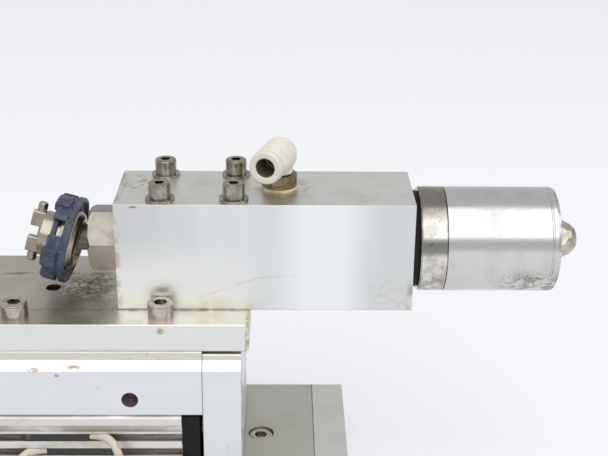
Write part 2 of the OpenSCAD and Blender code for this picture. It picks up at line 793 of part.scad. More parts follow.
// Distances along a piston: seal groove, magnet groove
seal_at = [1.5, 3.7];
magnet_at = [6, 9.5];
module pistons() {
  r = bore_d / 2 - running_gap;
  seal_r = bore_d / 2 - 2.2;
  magnet_r = bore_d / 2 - 3;
  color("#a8a49c") for (y = bore_ys) turned_x(piston_x0, [
    [rod_spigot_d / 2 + seat_gap, 0], [r, 0], [r, seal_at[0]], [seal_r, seal_at[0]],
    [seal_r, seal_at[1]], [r, seal_at[1]], [r, magnet_at[0]], [magnet_r, magnet_at[0]],
    [magnet_r, magnet_at[1]], [r, magnet_at[1]], [r, piston_len],
    [rod_spigot_d / 2 + seat_gap, piston_len]
  ], y, bore_z);
}

// Rings that fill the two grooves of each piston
module piston_rings(span, inner_r) {
  for (y = bore_ys) translate([piston_x0, y, bore_z]) rotate([0, 90, 0])
    ring(inner_r + seat_gap, bore_d / 2 - running_gap, span[0] + seat_gap, span[1] - seat_gap);
}
module piston_seals() { color("#1f1f1f") piston_rings(seal_at, bore_d / 2 - 2.2); }
module piston_magnets() { color("#38383c") piston_rings(magnet_at, bore_d / 2 - 3); }

module rod_end_screws() {
  color("#6f6a62") at_rod_ends(end_x1 - m5[2] - 0.3) cap_screw(m5, 16);
}

// Adapter plate -------------------------------------------------------------------------------

module adapter_plate() {
  corner = 1.3;
  color("#c3c3bb") difference() {
    extrude_x(plate_x0, plate_x1, both_sides([
      [top_w / 2 - 0.3, table_z1], [top_w / 2, table_z1 + 0.3], [top_w / 2, plate_z1 - 0.3],
      [top_w / 2 - 0.3, plate_z1]
    ]));
    for (x = [plate_x0, plate_x1], y = [-top_w / 2, top_w / 2]) translate([x, y, table_z1 - 1])
      rotate([0, 0, 45]) cube([corner * sqrt(2), corner * sqrt(2), 2 * plate_t + 4], center = true);
    for (at = plate_screw_at) translate([at[0], at[1], plate_z1]) screw_hole(m5, plate_t + 1, 0);
    for (at = block_screw_at) translate([at[0], at[1], plate_z1])
      screw_hole(m4, block_screw_len - block_h, 0);
    translate([spare_hole[0], spare_hole[1], table_z1 - 1])
      cylinder(r = spare_hole_r, h = plate_t + 2);
  }
}

module plate_screws() {
  color("#8f867a") for (at = plate_screw_at) translate([at[0], at[1], plate_z1])
    cap_screw(m5, plate_screw_len);
}

// Valve block ---------------------------------------------------------------------------------

module valve_block() {
  color("#d5d9df") difference() {
    slab([block_x, block_y - block_w / 2, plate_z1], [block_x1, block_y + block_w / 2, block_z1]);
    for (at = block_screw_at) translate([at[0], at[1], block_z1]) screw_hole(m4, block_h + 1, 0);
    rod_x(passage_r, block_x - 1, block_x1, block_y, valve_z);
    rod_x(adapter_thread_r + seat_gap, block_x - 1, block_x + adapter_thread_len + 0.5,
      block_y, valve_z);
    rod_x(spigot_r, block_x1 - spigot_len, block_x1 + 1, block_y, valve_z);
    translate([block_x + elbow_x, 0, valve_z]) cylinder(r = 2, h = block_h);
    translate([block_x + elbow_x, 0, block_z1 - 8.5])
      cylinder(r = elbow_thread_r + seat_gap, h = 9.5);
    rod_y(air_port_r, block_y + spigot_r - 1, block_y + block_w, air_port_x, valve_z);
  }
}

module block_screws() {
  color("#8f867a") for (at = block_screw_at)
    translate([at[0], at[1], block_z1 + washer_t + spring_washer_t])
      cap_screw(m4, block_screw_len);
}

module spring_washers() {
  color("#7d746a") for (at = block_screw_at) translate([at[0], at[1], block_z1 + washer_t])
    difference() {
      ring(m4[0] / 2 + 0.1, 3.4, 0, spring_washer_t);
      rotate([12, 0, 35]) slab([0, -0.25, -2], [5, 0.25, 3]);
    }
}

module flat_washers() {
  color("#857a6c") for (at = block_screw_at) translate([at[0], at[1], block_z1])
    ring(m4[0] / 2 + 0.15, washer_r, 0, washer_t);
}

// Elbow on top --------------------------------------------------------------------------------

// Puts its children on the elbow's upright axis, on top of the block
module at_elbow() {
  translate([block_x + elbow_x, 0, block_z1]) children();
}

// Puts its children on the elbow's branch, with Z pointing out of the tube hole
module along_branch() {
  translate([0, 0, elbow_h]) rotate([0, 0, elbow_turn]) rotate([90, 0, 0]) children();
}

module elbow_gasket() {
  color("#c9a860") at_elbow() ring(elbow_thread_r + 0.1, 5.7, 0, elbow_gasket_t);
}

module elbow_stub() {
  color("#8a7a5c") at_elbow() difference() {
    union() {
      rotate_extrude() polygon([
        [1.6, -8], [elbow_thread_r - 0.5, -8], [elbow_thread_r, -7.5],
        [elbow_thread_r, elbow_gasket_t], [5.6, elbow_gasket_t], [5.6, 2], [3, 2],
        [3, elbow_h - 2], [1.6, elbow_h - 2]
      ]);
      intersection() {
        translate([0, 0, 2]) cylinder(r = hex_r(10.2), h = elbow_hex_z - 2, $fn = 6);
        cylinder(r = 5.6, h = elbow_hex_z);
      }
    }
    translate([0, 0, -9]) cylinder(r = 1.6, h = elbow_h + 9);
  }
}

module elbow_body() {
  front = elbow_reach - release_travel - 2;
  color("#e6e2d2") at_elbow() difference() {
    union() {
      translate([0, 0, elbow_hex_z + slide_gap])
        cylinder(r = elbow_boss_r, h = elbow_h - elbow_hex_z - slide_gap - 1);
      translate([0, 0, elbow_h]) sphere(r = elbow_r + 0.15);
      along_branch() rotate_extrude() polygon([
        [0, 1], [elbow_r, 1], [elbow_r, front - 0.4], [elbow_r - 0.4, front], [0, front]
      ]);
    }
    along_branch() {
      translate([0, 0, 3.4]) cylinder(r = 4.2, h = elbow_reach);
      cylinder(r = 2, h = 5);
    }
    translate([0, 0, 1]) cylinder(r = 3 + running_gap, h = elbow_h - 2.8);
    translate([0, 0, elbow_h - 3]) cylinder(r = 1.8, h = 3);
  }
}

module release_ring() {
  back = elbow_reach - 1.9;
  color("#e9e2cd") at_elbow() along_branch() rotate_extrude() polygon([
    [tube_hole_r, 4.6 + release_travel], [4.2 - running_gap, 4.6 + release_travel],
    [4.2 - running_gap, back], [elbow_r - 0.2, back], [elbow_r - 0.2, elbow_reach - 0.4],
    [elbow_r - 0.6, elbow_reach], [tube_hole_r + 0.4, elbow_reach],
    [tube_hole_r, elbow_reach - 0.4]
  ]);
}

// Return cylinder and needle ------------------------------------------------------------------

module valve_o_ring() {
  color("#1c1b1a") turned_x(block_x1, [
    [cylinder_r - 4.6, 0], [cylinder_r - 1.6, 0], [cylinder_r - 1.2, o_ring_t / 2],
    [cylinder_r - 1.6, o_ring_t], [cylinder_r - 4.6, o_ring_t]
  ], block_y, valve_z);
}

// Ring between the block and the cap, with an air way from the port to the piston
module valve_ring() {
  front = -o_ring_t - spigot_len + 0.5;
  rear = ring_len + cap_thread_len;
  port_at = air_port_x - ring_x0;
  half_w = air_port_r + 0.5;
  color("#7a7264") difference() {
    turned_x(ring_x0, [
      [needle_r + running_gap, front], [spigot_r - seat_gap, front],
      [spigot_r - seat_gap, port_at - half_w], [spigot_r - 1.6, port_at - half_w],
      [spigot_r - 1.6, port_at + half_w], [spigot_r - seat_gap, port_at + half_w],
      [spigot_r - seat_gap, 0], [cylinder_r - 0.5, 0], [cylinder_r, 0.5],
      [cylinder_r, ring_len - 0.4], [cylinder_r - 0.4, ring_len],
      [cap_inner_r - seat_gap, ring_len], [cap_inner_r - seat_gap, rear],
      [needle_r + running_gap, rear]
    ], block_y, valve_z);
    rod_x(1.2, air_port_x, ring_x0 + rear + 1, block_y + spigot_r - 2.6, valve_z);
  }
}

module cylinder_cap() {
  inner_len = cap_len - cap_end_t;
  color("#dcdcd8") turned_x(ring_x1, [
    [cap_inner_r, 0], [cylinder_r, 0], [cylinder_r, cap_len - 3.2],
    [cylinder_r - 0.25, cap_len - 3], [cylinder_r - 0.25, cap_len - 2.6],
    [cylinder_r, cap_len - 2.4], [cylinder_r, cap_len - 1.2],
    [cylinder_r - 0.35, cap_len - 0.35], [cylinder_r - 1.2, cap_len],
    [adjuster_r + running_gap, cap_len], [adjuster_r + running_gap, inner_len],
    [cap_inner_r, inner_len]
  ], block_y, valve_z);
}

module valve_piston() {
  color("#a8a49c") turned_x(valve_piston_x, [
    [needle_r + seat_gap, 0], [cap_inner_r - running_gap - 0.5, 0],
    [cap_inner_r - running_gap, 0.5], [cap_inner_r - running_gap, valve_piston_t],
    [spring_r + spring_wire + 0.2, valve_piston_t],
    [spring_r + spring_wire + 0.2, valve_piston_t - 3],
    [needle_r + seat_gap, valve_piston_t - 3]
  ], block_y, valve_z);
}

module valve_needle() {
  length = valve_piston_x + valve_piston_t - 3 - needle_tip_x;
  color("#c2bfb8") turned_x(needle_tip_x, [
    [0, 0], [needle_tip_r, 0], [needle_r, needle_cone], [needle_r, length], [0, length]
  ], block_y, valve_z);
}

// A closed-coil spring as a helix, seated in the piston's pocket
module return_spring() {
  steps = 14;
  pitch = (spring_len - spring_wire) / spring_turns;
  path = [for (i = [0 : spring_turns * steps]) let (a = 360 * i / steps) [
    spring_x0 + spring_wire / 2 + pitch * i / steps,
    block_y + spring_r * cos(a), valve_z + spring_r * sin(a)
  ]];
  color("#9a948a") swept_tube(path, spring_wire / 2, 6);
}

module spring_seat() {
  color("#a8a49c") turned_x(spring_seat_x, [
    [0, 0], [spring_r + spring_wire + 1, 0], [spring_r + spring_wire + 1, spring_seat_t - 0.4],
    [spring_r + spring_wire + 0.6, spring_seat_t], [0, spring_seat_t]
  ], block_y, valve_z);
}

// Screw through the cylinder's end, with a domed hexagon head
module adjusting_screw() {
  head_x = cap_x1 + slide_gap;
  stem_x0 = spring_seat_x + spring_seat_t;
  head_r = hex_r(knob_af);
  color("#8a857a") {
    rod_x(adjuster_r, stem_x0, head_x + 1, block_y, valve_z);
    intersection() {
      translate([head_x, block_y, valve_z]) rotate([0, 90, 0]) rotate([0, 0, 30])
        cylinder(r = head_r, h = knob_len, $fn = 6);
      turned_x(head_x, [
        [0, 0], [head_r - 0.3, 0], [head_r, 0.5], [head_r - 0.2, 2.6], [head_r - 1.5, 5.4],
        [head_r - 2.9, knob_len - 0.4], [head_r - 3.6, knob_len], [0, knob_len]
      ], block_y, valve_z);
    }
  }
}

// Nozzle --------------------------------------------------------------------------------------

module ball_adapter() {
  hex_x0 = block_x - adapter_len;
  corner_r = hex_r(adapter_af);
  flat_r = adapter_af / 2;
  color("#b3a995") difference() {
    union() {
      rod_x(adapter_thread_r, block_x - 1, block_x + adapter_thread_len, block_y, valve_z);
      intersection() {
        translate([hex_x0, block_y, valve_z]) rotate([0, 90, 0]) rotate([0, 0, adapter_turn])
          cylinder(r = corner_r, h = adapter_len, $fn = 6);
        turned_x(hex_x0, [
          [0, 0], [flat_r - 0.3, 0], [corner_r, (corner_r - flat_r + 0.3) * 0.6],
          [corner_r, adapter_len], [0, adapter_len]
        ], block_y, valve_z);
      }
      rod_x(neck_r, ball_x, hex_x0 + 1, block_y, valve_z);
      intersection() {
        translate([ball_x, block_y, valve_z]) rotate([0, 90, 0]) sphere(r = ball_r);
        rod_x(ball_r + 1, ball_x - ball_flat, ball_x + ball_r, block_y, valve_z);
      }
    }
    rod_x(fluid_r, ball_x - ball_r, block_x, block_y, valve_z);
    turned_x(valve_seat_x, [
      [0, 0], [fluid_r, 0], [needle_r + 0.5, 1.3], [needle_r + 0.5, adapter_thread_len + 2],
      [0, adapter_thread_len + 2]
    ], block_y, valve_z);
  }
}

// Puts its children in the nozzle's own frame, about the centre of the ball
module in_nozzle() {
  translate([ball_x, block_y, valve_z]) rotate([0, 0, -nozzle_swing])
    rotate([0, nozzle_tilt - 90, 0]) children();
}

// The part of the nozzle that grips the ball from behind
module swivel_collar() {
  lip_z = -1.9;
  lip_r = sqrt(socket_r * socket_r - lip_z * lip_z);
  color("#a89c84") in_nozzle() difference() {
    rotate_extrude() polygon([
      [neck_r + 2.4, -6.3], [7.9, -6.3], [8.9, -5.7], [9.8, -4.6], [10.4, -3.2], [10.4, -0.8],
      [lip_r, -0.8], [lip_r, lip_z]
    ]);
    sphere(r = socket_r);
  }
}

module ball_seat_ring() {
  color("#ded8c8") in_nozzle() difference() {
    ring(4.4, 6.1, 0.2, 3.2);
    sphere(r = socket_r + 0.05);
  }
}

module air_cap() {
  color("#b8ad98") in_nozzle() difference() {
    union() {
      rotate_extrude() polygon([
        [6.2, -0.75], [9, -0.75], [9, 0.45], [7.5, 0.45], [7.5, 5.9], [7.1, 6.3], [3.2, 6.3],
        [2.4, 7.6], [0, 7.6], [0, 4.7], [6.2, 4.7]
      ]);
      rotate([0, 0, horn_turn]) for (side = [-1, 1])
        hull() for (y = [-1.6, 1.6], x = [2.4, 6.1])
          translate([side * x, y, 5.6]) cylinder(r = 0.75, h = 4.9, $fn = 24);
    }
    translate([0, 0, 4]) cylinder(r = 0.6, h = 5);
    for (side = [-1, 1]) horn_axis(side) translate([0, 0, 4.8])
      cylinder(r = 1.6 + seat_gap, h = 4);
  }
}

// Puts its children on the axis of a horn's pin, with Z pointing out of the horn
module horn_axis(side) {
  translate([0, 0, horn_z]) rotate([0, 0, horn_turn]) rotate([0, side * 90, 0]) children();
}

// Round-ended jet pins screwed into the horns
module horn_pins() {
  color("#9c917c") in_nozzle() for (side = [-1, 1]) horn_axis(side) rotate_extrude() polygon([
    [0, 4.85], [1.6, 4.85], [1.6, 9], [1.45, 9.5], [1, 9.9], [0, 10]
  ]);
}

// Rear band, pads round the front part, and a window in place of a pad on each side
module retaining_cap() {
  front_r = cap_r - 0.9;
  step = 360 / cap_pads;
  color("#3f5480") in_nozzle() rotate([0, 0, window_turn]) difference() {
    union() {
      rotate_extrude() polygon([
        [cap_r - 1, rim_z], [cap_r - 0.3, rim_z], [cap_r, rim_z + 0.4], [cap_r, rim_z + 2],
        [front_r, rim_z + 2.4], [front_r, 1.4], [front_r - 1, cap_face_z], [7.9, cap_face_z],
        [7.9, 0.7], [10.7, 0.7], [10.7, -3.2], [cap_r - 1.8, -3.8]
      ]);
      for (i = [0 : cap_pads - 1]) if (i % (cap_pads / 2) != 0)
        rotate([0, 0, step * i - pad_angle / 2]) rotate_extrude(angle = pad_angle) polygon([
          [front_r - 2, rim_z + 3.2], [cap_r, rim_z + 3.2], [cap_r, cap_face_z],
          [cap_r - 0.4, cap_face_z + 0.8], [front_r - 2, cap_face_z + 0.8]
        ]);
    }
    for (turn = [0, 180]) rotate([0, 0, turn])
      slab([9.4, -2.8, rim_z + 2.8], [cap_r + 1, 2.8, cap_face_z + 1]);
  }
}

base_plate();
end_bar();
base_screws();
foot_screw();
slide_body();
head_caps();
retaining_rings();
rod_covers();
body_rails();
end_bumper();
absorber_brackets();
absorber_tubes();
absorber_nuts();
bracket_screws();
upper_switch();
lower_switch();
switch_screws();
upper_lead();
upper_lead_coil();
lower_lead();
lower_lead_coil();
left_plunger();
right_plunger();
roller_cages();
guide_rollers();
table();
table_rails();
end_plate();
end_plate_screws();
piston_rods();
pistons();
piston_seals();
piston_magnets();
rod_end_screws();
striker();
striker_screws();
adapter_plate();
plate_screws();
valve_block();
block_screws();
spring_washers();
flat_washers();
elbow_stub();
elbow_gasket();
ball_adapter();
valve_ring();
valve_o_ring();
cylinder_cap();
valve_piston();
valve_needle();
return_spring();
spring_seat();
adjusting_screw();
elbow_body();
release_ring();
swivel_collar();
ball_seat_ring();
retaining_cap();
air_cap();
horn_pins();
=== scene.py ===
import json
import math

import bmesh
import bpy
from mathutils import Matrix, Vector


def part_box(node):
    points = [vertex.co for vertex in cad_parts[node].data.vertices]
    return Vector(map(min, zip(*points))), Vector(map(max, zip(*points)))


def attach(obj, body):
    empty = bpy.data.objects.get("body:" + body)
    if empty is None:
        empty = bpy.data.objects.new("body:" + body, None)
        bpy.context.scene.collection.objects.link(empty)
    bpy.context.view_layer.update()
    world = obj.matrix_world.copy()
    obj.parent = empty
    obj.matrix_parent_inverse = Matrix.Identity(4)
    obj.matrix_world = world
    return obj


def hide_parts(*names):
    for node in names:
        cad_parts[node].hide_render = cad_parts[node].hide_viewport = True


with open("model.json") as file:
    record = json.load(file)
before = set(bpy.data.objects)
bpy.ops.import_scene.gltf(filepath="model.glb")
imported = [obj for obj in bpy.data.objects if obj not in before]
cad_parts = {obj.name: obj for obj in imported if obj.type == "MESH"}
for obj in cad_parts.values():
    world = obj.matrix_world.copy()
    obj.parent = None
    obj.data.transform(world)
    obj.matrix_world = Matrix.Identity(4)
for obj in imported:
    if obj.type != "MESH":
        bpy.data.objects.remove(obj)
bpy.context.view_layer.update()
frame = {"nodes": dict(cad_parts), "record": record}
nodes = frame["nodes"]
mm = 0.001


def linearColour(hexCode, alpha=1.0):
    channels = [int(hexCode[i:i + 2], 16) / 255 for i in (1, 3, 5)]
    return [c / 12.92 if c <= 0.04045 else ((c + 0.055) / 1.055) ** 2.4 for c in channels] + [alpha]


def addNode(tree, kind, settings=None, links=None):
    node = tree.nodes.new(kind)
    for name, value in (settings or {}).items():
        setattr(node, name, value)
    for socket, value in (links or {}).items():
        if isinstance(value, bpy.types.NodeSocket):
            tree.links.new(value, node.inputs[socket])
        else:
            node.inputs[socket].default_value = value
    return node


def startMaterial(name, sockets):
    material = bpy.data.materials.new(name)
    material.use_nodes = True
    tree = material.node_tree
    tree.nodes.clear()
    shader = addNode(tree, "ShaderNodeBsdfPrincipled", None, sockets)
    addNode(tree, "ShaderNodeOutputMaterial", None, {"Surface": shader.outputs[0]})
    return material, tree, shader


def maths(tree, operation, *values, clamp=False):
    return addNode(tree, "ShaderNodeMath", {"operation": operation, "use_clamp": clamp},
                   dict(enumerate(values))).outputs[0]


def vectorMath(tree, operation, *values, output=0):
    return addNode(tree, "ShaderNodeVectorMath", {"operation": operation},
                   dict(enumerate(values))).outputs[output]


# 0 up to one value and 1 from another, eased between them
def ramp(tree, value, start, end, easing="SMOOTHSTEP"):
    return addNode(tree, "ShaderNodeMapRange", {"interpolation_type": easing}, {
        "Value": value, "From Min": start, "From Max": end}).outputs[0]


# A place some mm away from a corner
def away(corner, x=0, y=0, z=0):
    return corner + Vector((x, y, z)) * mm


# Object coordinates about a point on the piece, stretched along the axes
def onPiece(tree, stretch=(1, 1, 1), centre=(0, 0, 0)):
    place = addNode(tree, "ShaderNodeTexCoord").outputs["Object"]
    return vectorMath(tree, "MULTIPLY", vectorMath(tree, "SUBTRACT", place, centre), stretch)


# Uneven patches of about a size in mm, 0 up to low and 1 from high
def patches(tree, sizeMm, low, high, stretch=(1, 1, 1), detail=4.0):
    pattern = addNode(tree, "ShaderNodeTexNoise", None, {
        "Vector": onPiece(tree, stretch), "Scale": 1 / (sizeMm * mm), "Detail": detail,
        "Roughness": 0.6})
    return ramp(tree, pattern.outputs[0], low, high)


# 0 at start and 1 at end, in metres along X, Y or Z
def fade(tree, axis, start, end):
    place = addNode(tree, "ShaderNodeTexCoord").outputs["Object"]
    split = addNode(tree, "ShaderNodeSeparateXYZ", None, {0: place})
    return ramp(tree, split.outputs[axis], start, end)


# 1 near a point and 0 beyond the outer radius, in mm
def fadeAround(tree, centre, inner, outer, stretch=(1, 1, 1)):
    far = vectorMath(tree, "LENGTH", onPiece(tree, stretch, centre), output="Value")
    return ramp(tree, far, outer * mm, inner * mm)


# 1 near a line through a point, and 0 beyond the outer radius, in mm
def fadeFromAxis(tree, point, direction, inner, outer):
    aside = vectorMath(tree, "CROSS_PRODUCT", onPiece(tree, centre=point), direction)
    far = vectorMath(tree, "LENGTH", aside, output="Value")
    return ramp(tree, far, outer * mm, inner * mm)


# A thin line on a front face, between two places, that wavers sideways by some mm
def scratch(tree, start, end, widthMm, waverSize=9, waver=1.8):
    along = end - start
    across = Vector((-along.z, 0, along.x)).normalized()
    noise = addNode(tree, "ShaderNodeTexNoise", None, {
        "Vector": onPiece(tree), "Scale": 1 / (waverSize * mm), "Detail": 2.0})
    moved = vectorMath(tree, "MULTIPLY_ADD", noise.outputs["Color"],
                       (waver * mm, 0, waver * mm), onPiece(tree, centre=start))
    aside = vectorMath(tree, "DOT_PRODUCT", moved, across, output="Value")
    onward = vectorMath(tree, "DOT_PRODUCT", moved, along.normalized(), output="Value")
    thin = maths(tree, "COMPARE", aside, 0.0, widthMm / 2 * mm)
    within = maths(tree, "COMPARE", onward, along.length / 2, along.length / 2)
    return maths(tree, "MULTIPLY", thin, within)


# How far the surface faces along an axis, 0 at low and 1 at high
def facing(tree, axis, low, high):
    normal = addNode(tree, "ShaderNodeNewGeometry").outputs["Normal"]
    split = addNode(tree, "ShaderNodeSeparateXYZ", None, {0: normal})
    return ramp(tree, split.outputs[axis], low, high, "LINEAR")


# 1 along the edges of a piece, within about a radius
def edgesForWearAndHighlights(tree, radiusMm):
    rounded = addNode(tree, "ShaderNodeBevel", {"samples": 4}, {"Radius": radiusMm * mm})
    flat = addNode(tree, "ShaderNodeNewGeometry").outputs["Normal"]
    match = vectorMath(tree, "DOT_PRODUCT", rounded.outputs[0], flat, output="Value")
    return ramp(tree, match, 0.97, 0.65, "LINEAR")


# Lays a colour over a base where all the masks meet
def stain(tree, base, hexCode, strength, *masks):
    amount = strength
    for mask in masks:
        amount = maths(tree, "MULTIPLY", amount, mask, clamp=True)
    return addNode(tree, "ShaderNodeMix", {"data_type": "RGBA"}, {
        "Factor": amount, "A": base, "B": linearColour(hexCode)}).outputs["Result"]


# Colour, a range of roughness over a mask, and relief of a real depth over softened edges
def finishSurface(tree, shader, colour, glossMask, gloss, reliefMask, depthMm, edgeMm):
    tree.links.new(colour, shader.inputs["Base Color"])
    roughness = addNode(tree, "ShaderNodeMapRange", None, {
        "Value": glossMask, "To Min": gloss[0], "To Max": gloss[1]})
    tree.links.new(roughness.outputs[0], shader.inputs["Roughness"])
    softened = addNode(tree, "ShaderNodeBevel", {"samples": 6}, {"Radius": edgeMm * mm})
    bump = addNode(tree, "ShaderNodeBump", None, {
        "Height": reliefMask, "Distance": depthMm * mm, "Normal": softened.outputs[0]})
    tree.links.new(bump.outputs[0], shader.inputs["Normal"])


def dress(material, *names):
    for name in names:
        piece = nodes[name]
        piece.data.materials.clear()
        piece.data.materials.append(material)


cameraView = {
    "place": (79.1 * mm, -367.0 * mm, 243.7 * mm),
    "down": 22.64, "turn": -1.17, "roll": 0.65, "lens": 71.55}


def makeCamera(view):
    lens = bpy.data.cameras.new("studioCamera")
    lens.lens = view["lens"]
    lens.sensor_width = 36
    lens.clip_start = 0.01
    camera = bpy.data.objects.new("studioCamera", lens)
    turn = Matrix.Rotation(math.radians(view["turn"]), 4, "Z")
    down = Matrix.Rotation(math.radians(90 - view["down"]), 4, "X")
    roll = Matrix.Rotation(math.radians(view["roll"]), 4, "Z")
    camera.matrix_world = Matrix.Translation(view["place"]) @ turn @ down @ roll
    bpy.context.scene.collection.objects.link(camera)
    bpy.context.scene.camera = camera


studio = {
    "floorSize": 4.0, "floor": "#bcbcbd", "floorGlow": "#f2f3f7", "glowLevel": 0.52,
    "sky": "#ebecef", "skyLevel": 0.75,
    "lamps": [
        # name, place, aim, size, watts
        ("softbox", (0.03, -0.54, 0.93), (0.03, 0, 0.08), 1.4, 6.8),
        ("sideLamp", (0.95, -0.15, 0.5), (0.05, 0, 0.07), 0.5, 0.8)]}


def makeFloor(settings):
    grid = bmesh.new()
    bmesh.ops.create_grid(grid, x_segments=1, y_segments=1, size=settings["floorSize"])
    mesh = bpy.data.meshes.new("studioFloor")
    grid.to_mesh(mesh)
    grid.free()
    floor = bpy.data.objects.new("studioFloor", mesh)
    bpy.context.scene.collection.objects.link(floor)
    # matt white paper, which the eye and the metal see a little brighter than it lights the object
    material, tree, shader = startMaterial("matt white paper", {
        "Base Color": linearColour(settings["floor"]), "Roughness": 1.0, "Specular IOR Level": 0.0,
        "Emission Color": linearColour(settings["floorGlow"])})
    rays = addNode(tree, "ShaderNodeLightPath").outputs
    seen = rays["Is Camera Ray"]
    for kind in ("Is Glossy Ray", "Is Transmission Ray"):
        seen = maths(tree, "MAXIMUM", seen, rays[kind])
    glow = maths(tree, "MULTIPLY", seen, settings["glowLevel"])
    tree.links.new(glow, shader.inputs["Emission Strength"])
    mesh.materials.append(material)


def makeLights(settings):
    world = bpy.data.worlds.new("softRoom")
    bpy.context.scene.world = world
    world.use_nodes = True
    background = world.node_tree.nodes["Background"]
    background.inputs["Color"].default_value = linearColour(settings["sky"])
    background.inputs["Strength"].default_value = settings["skyLevel"]
    for name, place, aim, size, watts in settings["lamps"]:
        lamp = bpy.data.lights.new(name, "AREA")
        lamp.size = size
        lamp.energy = watts
        light = bpy.data.objects.new(name, lamp)
        light.location = place
        light.rotation_euler = (Vector(aim) - Vector(place)).to_track_quat("-Z", "Y").to_euler()
        bpy.context.scene.collection.objects.link(light)


makeCamera(cameraView)
makeFloor(studio)
makeLights(studio)
bpy.context.scene.view_settings.view_transform = "Standard"
print("camera, floor and lights are set")


leads = {
    "diameter": 2.7, "length": 500, "coilRadius": 16.2, "bottomZ": 1.4, "shiftAngle": 25,
    "colour": "#dcd3c0", "yellowed": "#b79f74", "grime": "#7d6a4c",
    "upper": {
        "coilAt": (104.3, -66.2), "turn": -1,
        "route": [
            (17.1, -28.15, 28.85), (18.8, -28.3, 28.85), (20.4, -28.7, 28.85), (21.9, -29.4, 28.85),
            (23.2, -30.4, 28.85), (24.4, -31.6, 28.5), (25.5, -32.8, 27.8), (26.4, -33.9, 26.6),
            (27.2, -34.9, 24.9), (27.9, -35.7, 22.7), (28.5, -36.4, 20.1), (29, -37, 17.2),
            (29.4, -37.7, 14.2), (29.8, -38.8, 11.2), (30.3, -40.3, 8.4), (31.2, -42.2, 5.9),
            (32.7, -44.3, 3.8), (35, -46.3, 2.4), (38.2, -47.8, 1.6), (42, -48.5, 1.4),
            (46, -48.65, 1.4), (58, -48.65, 1.4), (70, -48.65, 1.4), (84, -48.65, 1.4)]},
    "lower": {
        "coilAt": (-88.9, -66.2), "turn": 1,
        "route": [
            (2.8, -28.15, 23.4), (1.1, -28.3, 23.4), (-0.5, -28.7, 23.4), (-2, -29.4, 23.4),
            (-3.3, -30.4, 23.4), (-4.5, -31.6, 22.9), (-5.6, -32.8, 22.1), (-6.5, -33.9, 20.8),
            (-7.3, -34.9, 19), (-8, -35.8, 16.7), (-8.6, -36.6, 14.1), (-9.1, -37.6, 11.3),
            (-9.6, -39, 8.6), (-10.4, -40.9, 6.1), (-11.8, -43.2, 4), (-14, -45.5, 2.5),
            (-17, -47.3, 1.7), (-20.6, -48.3, 1.4), (-25, -48.65, 1.4), (-40, -48.65, 1.4),
            (-54, -48.65, 1.4), (-68, -48.65, 1.4)]}}


def smoothStep(x):
    x = min(max(x, 0.0), 1.0)
    return x * x * (3 - 2 * x)


# Four turns, two across and two high, that step over one after another near the end of a turn
def coilPath(settings, side):
    outer = settings["coilRadius"] + settings["diameter"] / 2
    inner = settings["coilRadius"] - settings["diameter"] / 2
    low = settings["bottomZ"]
    high = low + settings["diameter"]
    shift = settings["shiftAngle"]
    centreX, centreY = side["coilAt"]
    total = 4 * 360 - 3 * shift
    steps = 4 * 24
    path = []
    for i in range(steps + 1):
        angle = total * i / steps
        turn = min(int(angle // 360), 3)
        within = angle - 360 * turn
        radius, z = outer, low
        if turn == 0:
            radius = outer - (outer - inner) * smoothStep((within - 360 + shift) / shift)
        elif turn == 1:
            radius = inner
            z = low + (high - low) * smoothStep((within - 360 + 2 * shift) / shift)
        elif turn == 2:
            radius = inner + (outer - inner) * smoothStep((within - 360 + 3 * shift) / shift)
            z = high
        else:
            z = high
        around = math.radians(90 + side["turn"] * angle)
        path.append((centreX + radius * math.cos(around), centreY + radius * math.sin(around), z))
    return path


def leadVinyl(settings):
    # soft vinyl, extruded over two cores: cream, yellowed and grimy in patches
    material, tree, shader = startMaterial("soft vinyl sheath", {"IOR": 1.5})
    colour = stain(tree, linearColour(settings["colour"]), settings["yellowed"], 0.6,
                   patches(tree, 6, 0.5, 0.75))
    colour = stain(tree, colour, settings["grime"], 0.55, patches(tree, 2.2, 0.6, 0.75))
    grain = patches(tree, 0.6, 0.3, 0.7)
    finishSurface(tree, shader, colour, grain, (0.42, 0.58), grain, 0.01, 0.1)
    return material


def makeLead(name, side, settings, material, replaced):
    path = [Vector(p) * mm for p in side["route"] + coilPath(settings, side)]
    curve = bpy.data.curves.new(name, "CURVE")
    curve.dimensions = "3D"
    curve.bevel_depth = settings["diameter"] / 2 * mm
    curve.bevel_resolution = 5
    curve.resolution_u = 6
    curve.use_fill_caps = True
    spline = curve.splines.new("BEZIER")
    spline.bezier_points.add(len(path) - 1)
    for point, place in zip(spline.bezier_points, path):
        point.co = place
        point.handle_left_type = point.handle_right_type = "AUTO"
    lead = bpy.data.objects.new(name, curve)
    bpy.context.scene.collection.objects.link(lead)
    curve.materials.append(material)
    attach(lead, "slide_base")
    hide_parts(*replaced)


sheath = leadVinyl(leads)
for sideName in ("upper", "lower"):
    makeLead(sideName + "SwitchLead", leads[sideName], leads, sheath,
             [sideName + "_lead", sideName + "_lead_coil"])
print("leads are laid")


seamReach = (0.1, 0.3)  # mm, full and gone
basePlate = {"light": "#cfcdc3", "dark": "#c0bdb2", "specks": "#6d665a", "seam": "#5a554b"}
endBar = {"light": "#e4e3dd", "dark": "#dad8d1", "specks": "#6d665a", "seam": "#5a554b"}
brackets = {"light": "#b4b4b1", "dark": "#9c9c97", "specks": "#6d665a", "seam": "#5a554b"}


